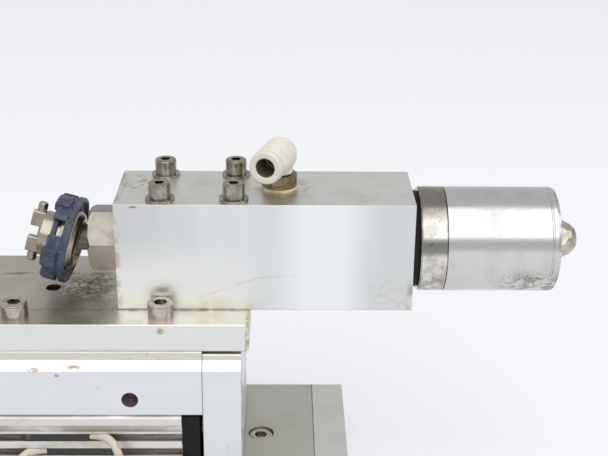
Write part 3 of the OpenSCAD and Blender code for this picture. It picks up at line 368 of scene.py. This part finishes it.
def groundPlate(name, look):
    # aluminium plate, ground: dull warm grey with fine lines along its length
    material, tree, shader = startMaterial(name, {"Metallic": 0.85})
    lines = patches(tree, 0.5, 0.2, 0.8, stretch=(0.04, 1, 1))
    colour = stain(tree, linearColour(look["light"]), look["dark"], 0.7, patches(tree, 16, 0.35, 0.7))
    colour = stain(tree, colour, look["dark"], 0.5, lines)
    colour = stain(tree, colour, look["specks"], 0.6, patches(tree, 1.3, 0.72, 0.78))
    seam = fadeAround(tree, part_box("end_bar")[0], *seamReach, (1, 0, 0))
    colour = stain(tree, colour, look["seam"], 0.7, seam)
    finishSurface(tree, shader, colour, lines, (0.42, 0.52), lines, 0.003, 0.2)
    return material


slideBody = {
    "bare": "#e0deda", "grime": "#ada188", "groove": "#6f6353", "specks": "#5b5040",
    "grooveDepth": 0.5}


def extrudedBody(look):
    # aluminium, extruded and clear anodised: pale grey, darker and browner in patches down in its
    # grooves
    material, tree, shader = startMaterial("clear anodised extrusion", {"Metallic": 0.8})
    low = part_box("slide_body")[0]
    lines = patches(tree, 0.35, 0.2, 0.8, stretch=(0.03, 1, 1))
    inGrooves = fade(tree, 1, low.y + 0.1 * mm, low.y + look["grooveDepth"] * mm)
    colour = stain(tree, linearColour(look["bare"]), look["groove"], 0.55, inGrooves,
                   patches(tree, 7, 0.3, 0.6, stretch=(0.3, 1, 1)))
    colour = stain(tree, colour, look["grime"], 0.6, patches(tree, 9, 0.5, 0.72, stretch=(0.4, 1, 1)))
    colour = stain(tree, colour, look["grime"], 0.6, edgesForWearAndHighlights(tree, 0.8), patches(tree, 4, 0.4, 0.6))
    colour = stain(tree, colour, look["specks"], 0.6, patches(tree, 1.2, 0.72, 0.8))
    finishSurface(tree, shader, colour, lines, (0.26, 0.42), lines, 0.004, 0.15)
    return material


slideTable = {
    "bare": "#e6e9ea", "upperBand": "#dcd7cb", "bandStain": "#b3a27c", "specks": "#8b8577",
    "bandHeight": 3.0, "seam": "#6f695e", "seamReach": (0.08, 0.22),
    "shadeInHole": "#6a4a46", "holeRadius": 2.7, "holeDown": 16.1, "holeFromBlock": 4.2,
    "dirt": "#8f7443", "scratch": "#9c988d",
    # dirt spots from the hole: across, up, how many times as wide as high
    "dirtSpots": [(-22.6, 9.0, 1.2), (-17.4, 11.3, 2.6), (-30.3, 10.8, 2.4)],
    # a fine scratch from the hole: across and up at its two ends, and its width
    "scratchFrom": (-13.4, 8.3), "scratchTo": (-8.5, 4.7), "scratchWidth": 0.3}


def anodisedTable(look):
    # aluminium, machined and clear anodised: smooth pale blue-grey, beige above the chamfer
    material, tree, shader = startMaterial("clear anodised aluminium", {"Metallic": 0.7})
    low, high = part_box("table")
    band = fade(tree, 2, high.z - (look["bandHeight"] + 0.15) * mm, high.z - look["bandHeight"] * mm)
    colour = stain(tree, linearColour(look["bare"]), look["upperBand"], 0.9, band)
    colour = stain(tree, colour, look["bandStain"], 0.6, band, patches(tree, 3, 0.6, 0.72))
    colour = stain(tree, colour, look["bandStain"], 0.5, patches(tree, 3.5, 0.68, 0.76))
    colour = stain(tree, colour, look["specks"], 0.5, patches(tree, 1.2, 0.74, 0.8))
    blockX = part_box("valve_block")[0].x
    hole = away(Vector((blockX, 0, high.z)), look["holeFromBlock"], 0, -look["holeDown"])
    inHole = fadeAround(tree, hole, look["holeRadius"] - 0.1, look["holeRadius"] + 0.1, (1, 0, 1))
    # painted shade: the walls of the hole, behind the front face, painted dark
    colour = stain(tree, colour, look["shadeInHole"], 1.0, inHole,
                   fade(tree, 1, low.y + 0.1 * mm, low.y + 0.3 * mm))
    front = facing(tree, 1, -0.4, -0.6)
    for across, up, wide in look["dirtSpots"]:
        spot = fadeAround(tree, away(hole, across, 0, up), 0.4, 1.1, (1 / wide, 0, 1.3))
        colour = stain(tree, colour, look["dirt"], 0.8, front, spot, patches(tree, 1.2, 0.35, 0.55))
    ends = [away(hole, across, 0, up) for across, up in (look["scratchFrom"], look["scratchTo"])]
    fineLine = scratch(tree, *ends, look["scratchWidth"])
    colour = stain(tree, colour, look["scratch"], 0.7, front, fineLine, patches(tree, 1.5, 0.4, 0.6))
    seam = fadeAround(tree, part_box("end_plate")[0], *look["seamReach"], (1, 0, 0))
    colour = stain(tree, colour, look["seam"], 0.75, seam)
    cloud = patches(tree, 6, 0.3, 0.7)
    finishSurface(tree, shader, colour, cloud, (0.3, 0.38), patches(tree, 0.6, 0.3, 0.7), 0.003, 0.2)
    return material


adapterPlate = {
    "bare": "#e6e6e3", "litTopColour": "#efece2", "topCloud": "#dbd8ca", "leftTop": "#b5afa2",
    "leftCloud": "#c6c1b5", "greenGrime": "#9c9a8c", "grime": "#7f6c4b", "darkGrime": "#352b20",
    "specks": "#7d7565", "edgeStain": "#a08a5c", "shadeInHole": "#2b231b", "edgeHighlight": "#f6f4ee",
    "tan": "#c2b28a", "holeRadius": 2.6,
    # places in mm from the foot of the block, along and to the back
    "hole": (-23.6, 16.5), "greenAt": (-5, 2), "grimeAt": (-6, 17), "dirtLineAt": 27.6,
    "frontSpot": 14.5}


def milledPlate(look):
    # aluminium plate, milled: pale front, its top painted lighter as painted light and dulled with brown
    # grime round the block's foot, a painted highlight on its edges
    material, tree, shader = startMaterial("milled adapter plate", {"Metallic": 0.8})
    low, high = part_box("adapter_plate")
    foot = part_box("valve_block")[0]
    top = facing(tree, 2, 0.5, 0.9)
    leftPart = fade(tree, 0, foot.x + 2 * mm, foot.x - 12 * mm)
    # painted light: the top faces painted lighter than the front
    colour = stain(tree, linearColour(look["bare"]), look["litTopColour"], 1.0, top)
    colour = stain(tree, colour, look["topCloud"], 0.8, top, patches(tree, 8, 0.35, 0.7))
    colour = stain(tree, colour, look["leftTop"], 0.95, top, leftPart)
    colour = stain(tree, colour, look["leftCloud"], 0.7, top, leftPart,
                   patches(tree, 5, 0.4, 0.7, stretch=(0.25, 1, 1)))
    nearFoot = fadeAround(tree, away(foot, *look["greenAt"]), 4, 26, (0.8, 1, 0))
    colour = stain(tree, colour, look["greenGrime"], 0.85, top, leftPart, nearFoot,
                   patches(tree, 10, 0.3, 0.6))
    behindHole = fadeAround(tree, away(foot, *look["grimeAt"]), 4, 18, (0.7, 1, 0))
    colour = stain(tree, colour, look["grime"], 0.8, top, leftPart, behindHole,
                   patches(tree, 5, 0.36, 0.62))
    colour = stain(tree, colour, look["darkGrime"], 0.85, top, leftPart, behindHole,
                   patches(tree, 1.2, 0.46, 0.58, stretch=(0.7, 1, 1)))
    dirtLine = fadeAround(tree, away(foot, y=look["dirtLineAt"]), 0.2, 1.6, (0, 1, 0))
    colour = stain(tree, colour, look["grime"], 0.8, top, leftPart, dirtLine,
                   patches(tree, 3, 0.42, 0.62, stretch=(0.4, 1, 1)))
    alongFoot = fadeAround(tree, away(foot, y=-0.3), 0.3, 1.6, (0, 1, 0))
    colour = stain(tree, colour, look["edgeStain"], 0.7, top, alongFoot, patches(tree, 4, 0.35, 0.6))
    # painted shade: the walls of the hole painted dark
    inHole = fadeAround(tree, away(foot, *look["hole"]), look["holeRadius"] - 0.1,
                        look["holeRadius"] + 0.1, (1, 1, 0))
    colour = stain(tree, colour, look["shadeInHole"], 0.9, inHole)
    lowerEdge = fade(tree, 2, low.z + 1.1 * mm, low.z + 0.2 * mm)
    colour = stain(tree, colour, look["tan"], 0.6, lowerEdge,
                   patches(tree, 6, 0.3, 0.6, stretch=(0.3, 1, 1)))
    rightEnd = fade(tree, 0, high.x - 1.6 * mm, high.x - 0.8 * mm)
    colour = stain(tree, colour, look["edgeStain"], 0.7, rightEnd, patches(tree, 3, 0.4, 0.6))
    spot = away(Vector((foot.x, low.y, high.z)), look["frontSpot"], 0, -2.2)
    colour = stain(tree, colour, look["edgeStain"], 0.75, fadeAround(tree, spot, 0.6, 1.5),
                   patches(tree, 1.0, 0.3, 0.5))
    colour = stain(tree, colour, look["specks"], 0.6, patches(tree, 1.2, 0.71, 0.78))
    # painted highlight: a bright line along the edges
    colour = stain(tree, colour, look["edgeHighlight"], 0.7, edgesForWearAndHighlights(tree, 0.3))
    finishSurface(tree, shader, colour, patches(tree, 8, 0.4, 0.8), (0.34, 0.5),
                  patches(tree, 0.7, 0.3, 0.7, stretch=(0.1, 1, 1)), 0.005, 0.25)
    return material


valveBlock = {
    "bare": "#e6e8e7", "broad": "#d6d9db", "top": "#e2e2db", "topCloud": "#d3d2c8",
    "pale": "#f6f8f8", "warm": "#efeee7", "darkerTone": "#c9cbc9", "edgeHighlight": "#ffffff",
    "footLine": "#8a6a3a", "sideStain": "#a58d5e", "rightStain": "#8d744d", "specks": "#7b7466",
    "scratch": "#c4b796", "elbowStain": "#ad9c68", "endStain": "#c6bf98",
    # places on the front in mm from its lower left corner, along and up
    "sheenBandAt": (67, 0), "paleFoot": (10, 6), "endCorner": (90, 5.5), "footEnd": 44,
    "scratches": [((23, 4), (47, 12.4)), ((46, 12.2), (63, 13.6)), ((80, 9.6), (87, 9.2))],
    "scratchWidth": 0.55,
    # places below its upper left corner, and the elbow's along the top
    "darkerAt": (4, -6), "nick": (6.2, -0.8), "elbowAt": 52}


def milledBlock(look):
    # aluminium bar, milled and brushed across: satin, stained at its corners and along its foot, with a
    # painted sheen band, a painted darker reflection towards its right end and a painted highlight on
    # its edges
    material, tree, shader = startMaterial("satin milled aluminium", {
        "Metallic": 0.9, "Anisotropic": 0.4})
    low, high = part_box("valve_block")
    upper = Vector((low.x, low.y, high.z))
    top = facing(tree, 2, 0.5, 0.9)
    front = facing(tree, 1, -0.5, -0.9)
    brushed = patches(tree, 0.6, 0.2, 0.8, stretch=(1, 1, 0.03))
    colour = stain(tree, linearColour(look["bare"]), look["broad"], 0.7,
                   patches(tree, 16, 0.3, 0.7, stretch=(1, 1, 0.15), detail=2))

    # a place on the front face, along and up from a corner
    def onFront(corner, place, inner, outer, stretch):
        return fadeAround(tree, away(corner, place[0], 0, place[1]), inner, outer, stretch)

    # painted highlight: a pale vertical sheen band down the front
    colour = stain(tree, colour, look["pale"], 0.85, front,
                   onFront(low, look["sheenBandAt"], 4, 18, (1, 0, 0)))
    colour = stain(tree, colour, look["warm"], 0.7, front,
                   onFront(low, look["paleFoot"], 5, 30, (0.6, 0, 1.3)))
    colour = stain(tree, colour, look["darkerTone"], 0.6, front,
                   onFront(upper, look["darkerAt"], 3, 22, (0.7, 0, 1)))
    # painted reflection: the front painted darker towards its right end
    colour = stain(tree, colour, look["darkerTone"], 0.35, front,
                   fade(tree, 0, high.x - 26 * mm, high.x - 6 * mm))
    colour = stain(tree, colour, look["endStain"], 0.35,
                   onFront(low, look["endCorner"], 2, 10, (0.7, 1, 1)), patches(tree, 2.2, 0.42, 0.65))
    colour = stain(tree, colour, look["top"], 0.95, top)
    colour = stain(tree, colour, look["topCloud"], 0.7, top, patches(tree, 9, 0.4, 0.7))
    footEnd = low.x + look["footEnd"] * mm
    colour = stain(tree, colour, look["footLine"], 0.8,
                   fade(tree, 2, low.z + 0.6 * mm, low.z + 0.2 * mm),
                   patches(tree, 6, 0.25, 0.45), fade(tree, 0, footEnd, footEnd - 4 * mm))
    colour = stain(tree, colour, look["elbowStain"], 0.3, fade(tree, 2, low.z + 7 * mm, low.z),
                   patches(tree, 12, 0.45, 0.62), fade(tree, 0, footEnd, footEnd - 8 * mm))
    colour = stain(tree, colour, look["sideStain"], 0.6, fade(tree, 0, low.x + 2.5 * mm, low.x),
                   patches(tree, 5, 0.45, 0.6))
    colour = stain(tree, colour, look["rightStain"], 0.6, fade(tree, 0, high.x - 3 * mm, high.x),
                   fade(tree, 2, low.z + 14 * mm, low.z + 6 * mm), patches(tree, 5, 0.4, 0.6))
    roundElbow = fadeAround(tree, away(Vector((low.x, 0, high.z)), look["elbowAt"]), 5, 13)
    colour = stain(tree, colour, look["elbowStain"], 0.8, top, roundElbow, patches(tree, 3, 0.35, 0.6))
    for start, end in look["scratches"]:
        scribed = scratch(tree, away(low, start[0], 0, start[1]), away(low, end[0], 0, end[1]),
                          look["scratchWidth"])
        colour = stain(tree, colour, look["scratch"], 0.45, scribed, patches(tree, 3, 0.35, 0.65))
    farCorner = fadeAround(tree, away(Vector((low.x, high.y, high.z)), 6, -12), 2, 12)
    colour = stain(tree, colour, look["elbowStain"], 0.8, top, farCorner, patches(tree, 2, 0.5, 0.62))
    colour = stain(tree, colour, look["specks"], 0.7, patches(tree, 1.1, 0.735, 0.77))
    # painted highlight: a bright white line along the edges
    colour = stain(tree, colour, look["edgeHighlight"], 0.8, edgesForWearAndHighlights(tree, 0.3))
    colour = stain(tree, colour, look["specks"], 0.9,
                   onFront(upper, look["nick"], 0.2, 0.5, (0.3, 1, 1.1)))
    finishSurface(tree, shader, colour, brushed, (0.3, 0.4), brushed, 0.004, 0.35)
    return material


dress(groundPlate("ground base plate", basePlate), "base_plate")
dress(groundPlate("ground end bar", endBar), "end_bar")
dress(groundPlate("anodised bracket", brackets), "absorber_brackets", "striker")
dress(extrudedBody(slideBody), "slide_body", "head_caps", "pistons")
dress(anodisedTable(slideTable), "table", "end_plate")
dress(milledPlate(adapterPlate), "adapter_plate")
dress(milledBlock(valveBlock), "valve_block")
print("alloy pieces are finished")


screwSet = {
    "light": "#c3bdb1", "dark": "#988f80", "grime": "#5c4b33", "worn": "#f6f4ee", "gloss": (0.08, 0.2)}
blockScrewSet = {
    "light": "#a8a298", "dark": "#7c7467", "grime": "#4d4031", "worn": "#d8d3c8", "gloss": (0.12, 0.28)}
darkSet = {
    "light": "#77726a", "dark": "#504b44", "grime": "#4a3826", "worn": "#a8a49c", "gloss": (0.36, 0.55)}
nozzleLook = {
    "light": "#b5ad9f", "dark": "#8e8474", "grime": "#5a4c39", "worn": "#e3ddd0", "gloss": (0.2, 0.36)}
brassLook = {
    "light": "#97896c", "dark": "#73644a", "grime": "#4d3f2a", "worn": "#c7b893", "gloss": (0.3, 0.5)}


def platedMetal(name, look, cloudMm=3.0):
    # steel or brass, turned and nickel plated: warm silver, bright on its edges, brown in specks
    material, tree, shader = startMaterial(name, {"Metallic": 1.0})
    cloud = patches(tree, cloudMm, 0.35, 0.7)
    colour = stain(tree, linearColour(look["light"]), look["dark"], 0.8, cloud)
    colour = stain(tree, colour, look["grime"], 0.65, patches(tree, 1.1, 0.62, 0.74))
    colour = stain(tree, colour, look["worn"], 0.5, edgesForWearAndHighlights(tree, 0.25))
    finishSurface(tree, shader, colour, cloud, look["gloss"], patches(tree, 0.5, 0.3, 0.7), 0.008, 0.2)
    return material


capLook = {
    "bare": "#d0d1cf", "smear": "#b9bab6", "rust": "#85745a", "darkRust": "#57483a",
    "gloss": (0.2, 0.34)}


def brightTurned(look):
    # steel, turned and polished: bright bands round its axis, rusty stains low near its end
    material, tree, shader = startMaterial("bright turned steel", {"Metallic": 1.0})
    low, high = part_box("cylinder_cap")
    smear = patches(tree, 9, 0.45, 0.75, stretch=(1, 0.5, 0.5))
    colour = stain(tree, linearColour(look["bare"]), look["smear"], 0.5, smear)
    bottom = fade(tree, 2, low.z + 15 * mm, low.z + 7 * mm)
    toEnd = fade(tree, 0, low.x + 14 * mm, high.x - 12 * mm)
    colour = stain(tree, colour, look["rust"], 0.75, bottom, toEnd, patches(tree, 5, 0.42, 0.58))
    colour = stain(tree, colour, look["rust"], 0.6, fade(tree, 2, low.z + 5 * mm, low.z + 1 * mm),
                   patches(tree, 4, 0.42, 0.6, stretch=(0.4, 1, 1)))
    colour = stain(tree, colour, look["darkRust"], 0.9, bottom, toEnd, patches(tree, 1.2, 0.56, 0.64))
    colour = stain(tree, colour, look["rust"], 0.6, fade(tree, 0, high.x - 1.6 * mm, high.x - 0.8 * mm),
                   patches(tree, 3, 0.5, 0.62))
    colour = stain(tree, colour, look["rust"], 0.6, patches(tree, 1.2, 0.72, 0.76))
    rings = patches(tree, 0.3, 0.25, 0.75, stretch=(1, 0.02, 0.02))
    finishSurface(tree, shader, colour, smear, look["gloss"], rings, 0.003, 0.25)
    return material


ringLook = {
    "bare": "#dcdad5", "mottle": "#bdb8ad", "grime": "#6f665a", "dark": "#3b3229", "band": "#77746f"}


def tarnishedRing(look):
    # steel, turned and left bare: dulled by mottled tarnish, darker and browner above and below, and a
    # painted dark reflection band above its middle
    material, tree, shader = startMaterial("tarnished turned steel", {"Metallic": 1.0})
    low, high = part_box("valve_ring")
    middle = (low.z + high.z) / 2
    colour = stain(tree, linearColour(look["bare"]), look["mottle"], 0.8, patches(tree, 4, 0.42, 0.62))
    colour = stain(tree, colour, look["grime"], 0.75, fade(tree, 2, middle + 9 * mm, middle + 15 * mm))
    colour = stain(tree, colour, look["grime"], 0.55, fade(tree, 2, middle - 4 * mm, middle - 9 * mm),
                   patches(tree, 3, 0.35, 0.6))
    # painted reflection: a dark band round the ring above its middle
    paintedReflectionBand = fadeAround(tree, (0, 0, middle + 3.6 * mm), 1.2, 3.4, (0, 0, 1))
    colour = stain(tree, colour, look["band"], 0.75, paintedReflectionBand)
    colour = stain(tree, colour, look["dark"], 0.85, patches(tree, 1.1, 0.65, 0.71))
    finishSurface(tree, shader, colour, patches(tree, 4, 0.4, 0.6), (0.16, 0.28),
                  patches(tree, 0.9, 0.3, 0.7), 0.006, 0.3)
    return material


steelLook = {"light": "#b3b2ae", "dark": "#96948e", "gloss": (0.25, 0.4)}
chromeLook = {"light": "#cfcfce", "dark": "#9a9382", "gloss": (0.08, 0.25)}


def hardSteel(name, look):
    # steel, hardened and ground or chromed: clean grey with a fine grain and a trace of grease
    material, tree, shader = startMaterial(name, {"Metallic": 1.0})
    grain = patches(tree, 0.4, 0.3, 0.7, stretch=(0.1, 1, 1))
    colour = stain(tree, linearColour(look["light"]), look["dark"], 0.7, grain)
    colour = stain(tree, colour, look["dark"], 0.5, patches(tree, 3, 0.5, 0.7))
    finishSurface(tree, shader, colour, grain, look["gloss"], grain, 0.002, 0.1)
    return material


dress(platedMetal("nickel plated screw steel", screwSet),
      "plate_screws", "foot_screw", "adjusting_screw")
dress(platedMetal("worn screw steel", blockScrewSet),
      "block_screws", "spring_washers", "flat_washers")
dress(platedMetal("black oxide screw steel", darkSet),
      "base_screws", "bracket_screws", "end_plate_screws", "rod_end_screws",
      "striker_screws", "switch_screws", "retaining_rings", "rod_covers")
dress(brightTurned(capLook), "cylinder_cap")
dress(tarnishedRing(ringLook), "valve_ring")

ballAdapter = {
    "acrossFlats": 19.4, "hexagonLength": 9.6, "leaning": 9,
    # how far the corners' chamfers face outwards and to the front, at 30 degrees
    "chamferFacing": (0.5, 0.866),
    "ball": 11.6, "ballFlat": 3, "ballSteps": 12, "neck": 8.5, "bore": 2.8,
    "needleBore": 5, "seatDepth": 1.4, "seatCone": 1.3, "thread": 13, "threadLength": 10,
    "innerStep": 1, "sides": 64, "sharpAngle": 28,
    "light": "#aea89d", "dark": "#958d7f", "grime": "#62543f", "darkReflectionTop": "#6f685e",
    "floorReflectionLowFace": "#ded8cc", "worn": "#eee9df", "neckShade": "#6b6353", "gloss": (0.22, 0.36)}


# The hexagon with its chamfered corners, standing on the block's face and along Z for now
def makeHexagon(form, size):
    bmesh.ops.create_circle(form, cap_ends=True, segments=6,
                            radius=size["acrossFlats"] / math.sqrt(3) * mm)
    bmesh.ops.rotate(form, verts=form.verts,
                     matrix=Matrix.Rotation(math.radians(size["leaning"]), 3, "Z"))
    raised = bmesh.ops.extrude_face_region(form, geom=form.faces[:])["geom"]
    top = Vector((0, 0, size["hexagonLength"] * mm))
    bmesh.ops.translate(form, verts=[v for v in raised if isinstance(v, bmesh.types.BMVert)], vec=top)
    sideways, forwards = size["chamferFacing"]
    for corner in range(6):
        around = math.radians(30 + size["leaning"] + 60 * corner)
        outward = Vector((math.cos(around), math.sin(around), 0))
        cut = bmesh.ops.bisect_plane(
            form, geom=form.verts[:] + form.edges[:] + form.faces[:],
            plane_co=outward * size["acrossFlats"] / 2 * mm + top,
            plane_no=outward * sideways + Vector((0, 0, forwards)), clear_outer=True)
        rim = [e for e in cut["geom_cut"] if isinstance(e, bmesh.types.BMEdge)]
        bmesh.ops.holes_fill(form, edges=rim)


# Thread, neck and ball are one turned profile of radii and heights, with the bore through them
def turnBall(form, size, ballAt):
    ball, neck, thread = size["ball"] / 2, size["neck"] / 2, size["thread"] / 2
    first = -math.acos(neck / ball)
    last = math.asin(size["ballFlat"] / ball)
    steps = size["ballSteps"]
    arc = [first + (last - first) * i / steps for i in range(steps + 1)]
    profile = [(thread, -size["threadLength"]), (thread, size["innerStep"]), (neck, size["innerStep"])]
    profile += [(ball * math.cos(a), ballAt + ball * math.sin(a)) for a in arc]
    profile += [(size["bore"] / 2, ballAt + size["ballFlat"]),
                (size["bore"] / 2, size["seatDepth"] + size["seatCone"]),
                (size["needleBore"] / 2, size["seatDepth"]),
                (size["needleBore"] / 2, -size["threadLength"])]
    points = [form.verts.new((radius * mm, 0, height * mm)) for radius, height in profile]
    lines = [form.edges.new((points[i - 1], points[i])) for i in range(len(points))]
    bmesh.ops.spin(form, geom=points + lines, cent=(0, 0, 0), axis=(0, 0, 1), dvec=(0, 0, 0),
                   angle=2 * math.pi, steps=size["sides"], use_merge=True, use_duplicate=False)


def makeBallAdapter(size, material):
    low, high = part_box("ball_adapter")
    blockFace = high.x - size["threadLength"] * mm
    form = bmesh.new()
    makeHexagon(form, size)
    turnBall(form, size, (blockFace - low.x) / mm - size["ballFlat"])
    bmesh.ops.remove_doubles(form, verts=form.verts, dist=0.001 * mm)
    bmesh.ops.recalc_face_normals(form, faces=form.faces)
    bmesh.ops.rotate(form, verts=form.verts, matrix=Matrix.Rotation(math.radians(-90), 3, "Y"))
    bmesh.ops.translate(form, verts=form.verts,
                        vec=(blockFace, (low.y + high.y) / 2, (low.z + high.z) / 2))
    mesh = bpy.data.meshes.new("ballAdapter")
    form.to_mesh(mesh)
    form.free()
    mesh.shade_smooth()
    mesh.set_sharp_from_angle(angle=math.radians(size["sharpAngle"]))
    mesh.materials.append(material)
    adapter = bpy.data.objects.new("ballAdapter", mesh)
    bpy.context.scene.collection.objects.link(adapter)
    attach(adapter, "slide_table")
    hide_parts("ball_adapter")


def hexagonMetal(look):
    # brass, milled and nickel plated: satin warm silver, its neck browned and painted dark as shade, its
    # top face painted darker and its lower faces painted lighter as reflections
    material, tree, shader = startMaterial("nickel plated hexagon", {"Metallic": 0.6})
    low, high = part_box("ball_adapter")
    cloud = patches(tree, 6, 0.35, 0.7)
    colour = stain(tree, linearColour(look["light"]), look["dark"], 0.8, cloud)
    colour = stain(tree, colour, look["grime"], 0.65, patches(tree, 1.3, 0.66, 0.74))
    colour = stain(tree, colour, look["worn"], 0.5, edgesForWearAndHighlights(tree, 0.25))
    neck = look["neck"] / 2
    # the neck painted dark brown, partly brown tarnish and partly painted shade
    onNeck = fadeFromAxis(tree, (low + high) / 2, (1, 0, 0), neck + 0.1, neck + 0.5)
    colour = stain(tree, colour, look["neckShade"], 0.85, onNeck)
    # painted reflection: the top faces painted darker
    colour = stain(tree, colour, look["darkReflectionTop"], 0.75, facing(tree, 2, 0.8, 0.97))
    # painted reflection: the faces turned down and outwards painted lighter, as the bright floor they
    # reflect
    colour = stain(tree, colour, look["floorReflectionLowFace"], 0.8,
                   facing(tree, 2, -0.3, -0.5), facing(tree, 2, -0.95, -0.8))
    finishSurface(tree, shader, colour, cloud, look["gloss"], patches(tree, 0.5, 0.3, 0.7), 0.008, 0.2)
    return material


makeBallAdapter(ballAdapter, hexagonMetal(ballAdapter))
dress(platedMetal("nickel plated nozzle", nozzleLook, 4), "swivel_collar", "air_cap", "horn_pins")
dress(platedMetal("tarnished brass", brassLook), "elbow_stub", "absorber_tubes", "absorber_nuts")
dress(hardSteel("ground steel", steelLook), "body_rails", "table_rails", "guide_rollers",
      "return_spring", "spring_seat", "valve_piston")
dress(hardSteel("hard chromed steel", chromeLook), "piston_rods", "left_plunger", "right_plunger",
      "valve_needle")
print("steel and brass pieces are finished")


capColours = {
    "nylon": "#3a4558", "dusty": "#626d7d", "deep": "#242a36", "scuffed": "#a3a7ab", "dirt": "#8a8270"}


def blueCap(look):
    # moulded nylon, slate blue: dusty, scuffed pale on its ribs and dark in patches
    material, tree, shader = startMaterial("dusty blue nylon", {"IOR": 1.5})
    dust = patches(tree, 3, 0.42, 0.7)
    colour = stain(tree, linearColour(look["nylon"]), look["dusty"], 0.75, dust)
    colour = stain(tree, colour, look["deep"], 0.6, patches(tree, 2.4, 0.52, 0.66))
    colour = stain(tree, colour, look["scuffed"], 0.7, edgesForWearAndHighlights(tree, 0.45),
                   patches(tree, 1.5, 0.4, 0.6))
    colour = stain(tree, colour, look["dirt"], 0.75, patches(tree, 1.2, 0.64, 0.72))
    finishSurface(tree, shader, colour, dust, (0.4, 0.7), patches(tree, 0.8, 0.3, 0.7), 0.03, 0.3)
    return material


elbowColours = {"light": "#ece8da", "shade": "#e2dbc6", "specks": "#8f7c55", "gloss": (0.3, 0.45)}
seatColours = {"light": "#e4e0d6", "shade": "#cfc8b6", "specks": "#a1987f", "gloss": (0.45, 0.6)}
switchColours = {"light": "#29282a", "shade": "#3d3a37", "specks": "#7d7058", "gloss": (0.35, 0.5)}
rubberColours = {"light": "#100f0f", "shade": "#1f1d1b", "specks": "#3b352d", "gloss": (0.6, 0.8)}
gasketColours = {"light": "#e4dcc0", "shade": "#c4b083", "specks": "#7d6537", "gloss": (0.5, 0.65)}

tubeHole = {"inside": "#5b5445", "radius": 3.05, "rim": 0.15, "depth": 10}


# Shades the hole for the tube, from its mouth down to where it ends
def shadeTubeHole(tree, colour, look):
    socket = next(mount for mount in frame["record"]["mounts"] if mount["name"] == "tube_socket")
    mouth, outwards = socket["pos_m"], socket["axis"]
    inTube = fadeFromAxis(tree, mouth, outwards, look["radius"], look["radius"] + look["rim"])
    along = vectorMath(tree, "DOT_PRODUCT", onPiece(tree, centre=mouth), outwards, output="Value")
    mouthSide = maths(tree, "GREATER_THAN", along, -look["depth"] * mm)
    return stain(tree, colour, look["inside"], 0.9, inTube, mouthSide)


def mouldedPiece(name, look, ior=1.5, hole=None):
    # moulded plastic or rubber: even colour, faint cloudiness, a few stains and a fine grain
    material, tree, shader = startMaterial(name, {"IOR": ior})
    cloud = patches(tree, 5, 0.4, 0.7)
    colour = stain(tree, linearColour(look["light"]), look["shade"], 0.7, cloud)
    colour = stain(tree, colour, look["specks"], 0.6, patches(tree, 1.3, 0.68, 0.75))
    if hole:
        colour = shadeTubeHole(tree, colour, hole)
    finishSurface(tree, shader, colour, cloud, look["gloss"], patches(tree, 0.5, 0.3, 0.7), 0.008, 0.25)
    return material


dress(blueCap(capColours), "retaining_cap")
dress(mouldedPiece("yellowed white acetal", elbowColours, hole=tubeHole), "elbow_body", "release_ring")
dress(mouldedPiece("white fluoropolymer", seatColours, 1.35), "ball_seat_ring")
dress(mouldedPiece("black moulded nylon", switchColours), "upper_switch", "lower_switch", "roller_cages")
dress(mouldedPiece("black rubber", rubberColours, 1.4), "end_bumper", "piston_seals", "valve_o_ring",
      "piston_magnets")
dress(mouldedPiece("tan fibre gasket", gasketColours), "elbow_gasket")
print("plastic and rubber pieces are finished")
